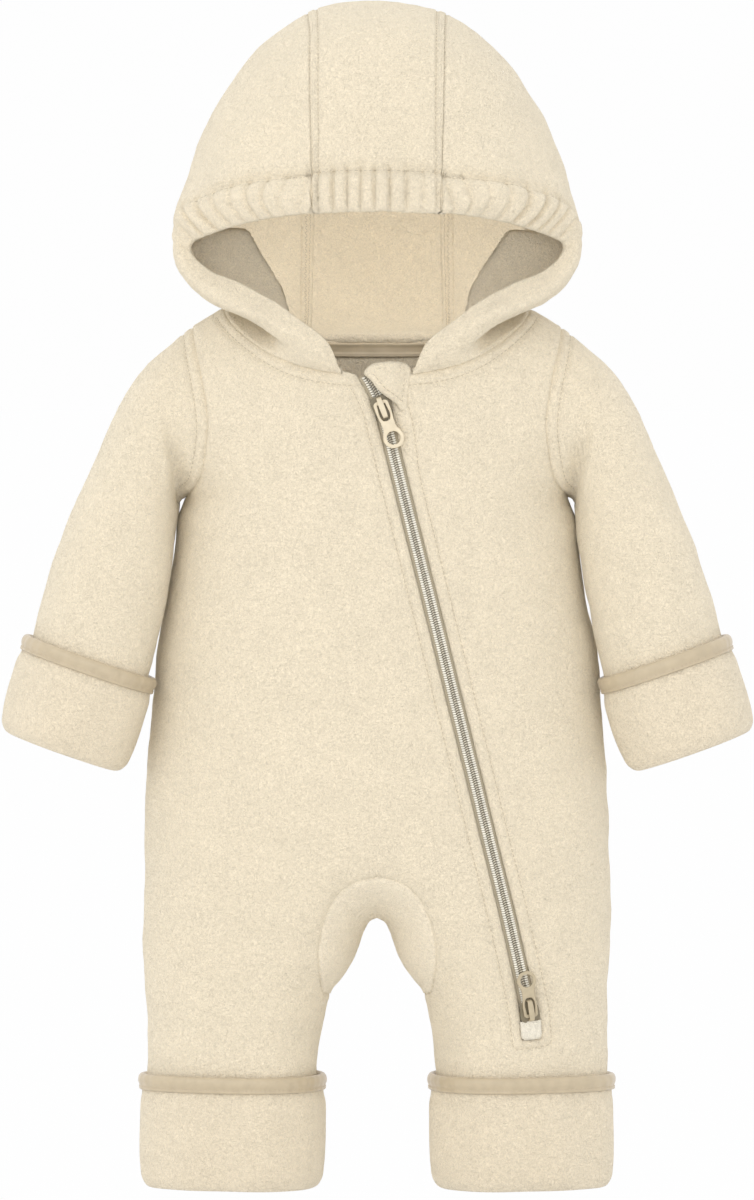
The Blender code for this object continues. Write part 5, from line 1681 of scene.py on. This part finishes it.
def add_area(name, place, size, energy, aim):
    light = bpy.data.lights.new(name, "AREA")
    light.shape = "RECTANGLE"
    light.size, light.size_y = size
    light.energy = energy
    light.color = LIGHT_COLOUR
    lamp = linked(name, light)
    lamp.location = place
    lamp.rotation_mode = "QUATERNION"
    lamp.rotation_quaternion = (Vector(place) - Vector(aim)).to_track_quat("Z", "Y")


def add_light():
    world = bpy.data.worlds.new("studio")
    bpy.context.scene.world = world
    world.use_nodes = True
    nodes, links = world.node_tree.nodes, world.node_tree.links
    light = nodes["Background"]
    light.inputs["Color"].default_value = (*LIGHT_COLOUR, 1)
    light.inputs["Strength"].default_value = WORLD_LIGHT
    backdrop = nodes.new("ShaderNodeBackground")
    backdrop.inputs["Color"].default_value = (0.99, 0.99, 0.99, 1)
    out = seen_by_camera(nodes, links, backdrop.outputs[0], light.outputs[0])
    links.new(out, nodes["World Output"].inputs["Surface"])
    for name, (place, size, energy, aim) in LIGHTS.items():
        add_area(name, place, size, energy, aim)


def add_camera():
    """A level camera in front; the photograph's scale holds at SCALE_DEPTH."""
    data = bpy.data.cameras.new("camera")
    camera = linked("camera", data)
    bpy.context.scene.camera = camera
    camera.location = (0, -CAMERA_AWAY * MM, CAMERA_HEIGHT * MM)
    camera.rotation_euler = (np.pi / 2, 0, 0)
    away = CAMERA_AWAY + SCALE_DEPTH
    data.sensor_fit = "VERTICAL"
    data.sensor_height = 36.0
    data.lens = data.sensor_height * away / (PHOTO_HEIGHT * MM_PER_PIXEL)
    middle_z = (PHOTO_ORIGIN_Y - PHOTO_HEIGHT / 2) * MM_PER_PIXEL
    data.shift_y = (middle_z - CAMERA_HEIGHT) / (PHOTO_HEIGHT * MM_PER_PIXEL)
    data.shift_x = (PHOTO_WIDTH / 2 - PHOTO_MIDDLE_X) / PHOTO_HEIGHT
    data.clip_end = 200
    bpy.context.scene.view_settings.view_transform = "Standard"


def main():
    materials = {key: make_material(*made) for key, made in MATERIALS.items()}
    panels = add_panels(materials)
    groups = stitch_rows(panels["front"], "zip", "neck_left", "neck_right")
    groups += stitch_rows(panels["back"], "neck")
    for word in ("left", "right"):
        groups += stitch_rows(panels[f"sleeve_{word}"], "armhole")
        groups += stitch_rows(panels[f"hood_side_{word}"], "casing", "band")
    groups += stitch_rows(panels["hood_centre"], "casing", "band_left", "band_right")
    groups.append(add_guard(materials["fleece"]))
    add_stitches("topstitching", groups, materials["thread"])
    bands = add_hood_bands(panels, materials["fleece"])
    add_stitches("hood_seam_stitches", bands, materials["thread"], 0.22)
    add_cuffs(materials)
    add_neck_tape(materials["satin"])
    add_zip(materials)
    tabs = (
        ("top", SLIDER_TOP_Z, 1, 1.0, materials["metal"], "upper_tab"),
        ("bottom", SLIDER_BOTTOM_Z, -1, LOWER_PULL_SCALE, materials["metal_dark"], "lower_tab"),
    )
    for word, z, flip, _, metal, _ in tabs:
        add_slider(f"slider_{word}_metal", f"slider_{word}", z, flip, (materials["metal_painted_shade"], metal))
    for word, z, flip, scale, metal, body_name in tabs:
        add_pull(f"pull_{word}_metal", f"pull_{word}", z, flip, scale, metal, body_name)
    add_floor()
    add_light()
    add_camera()


main()
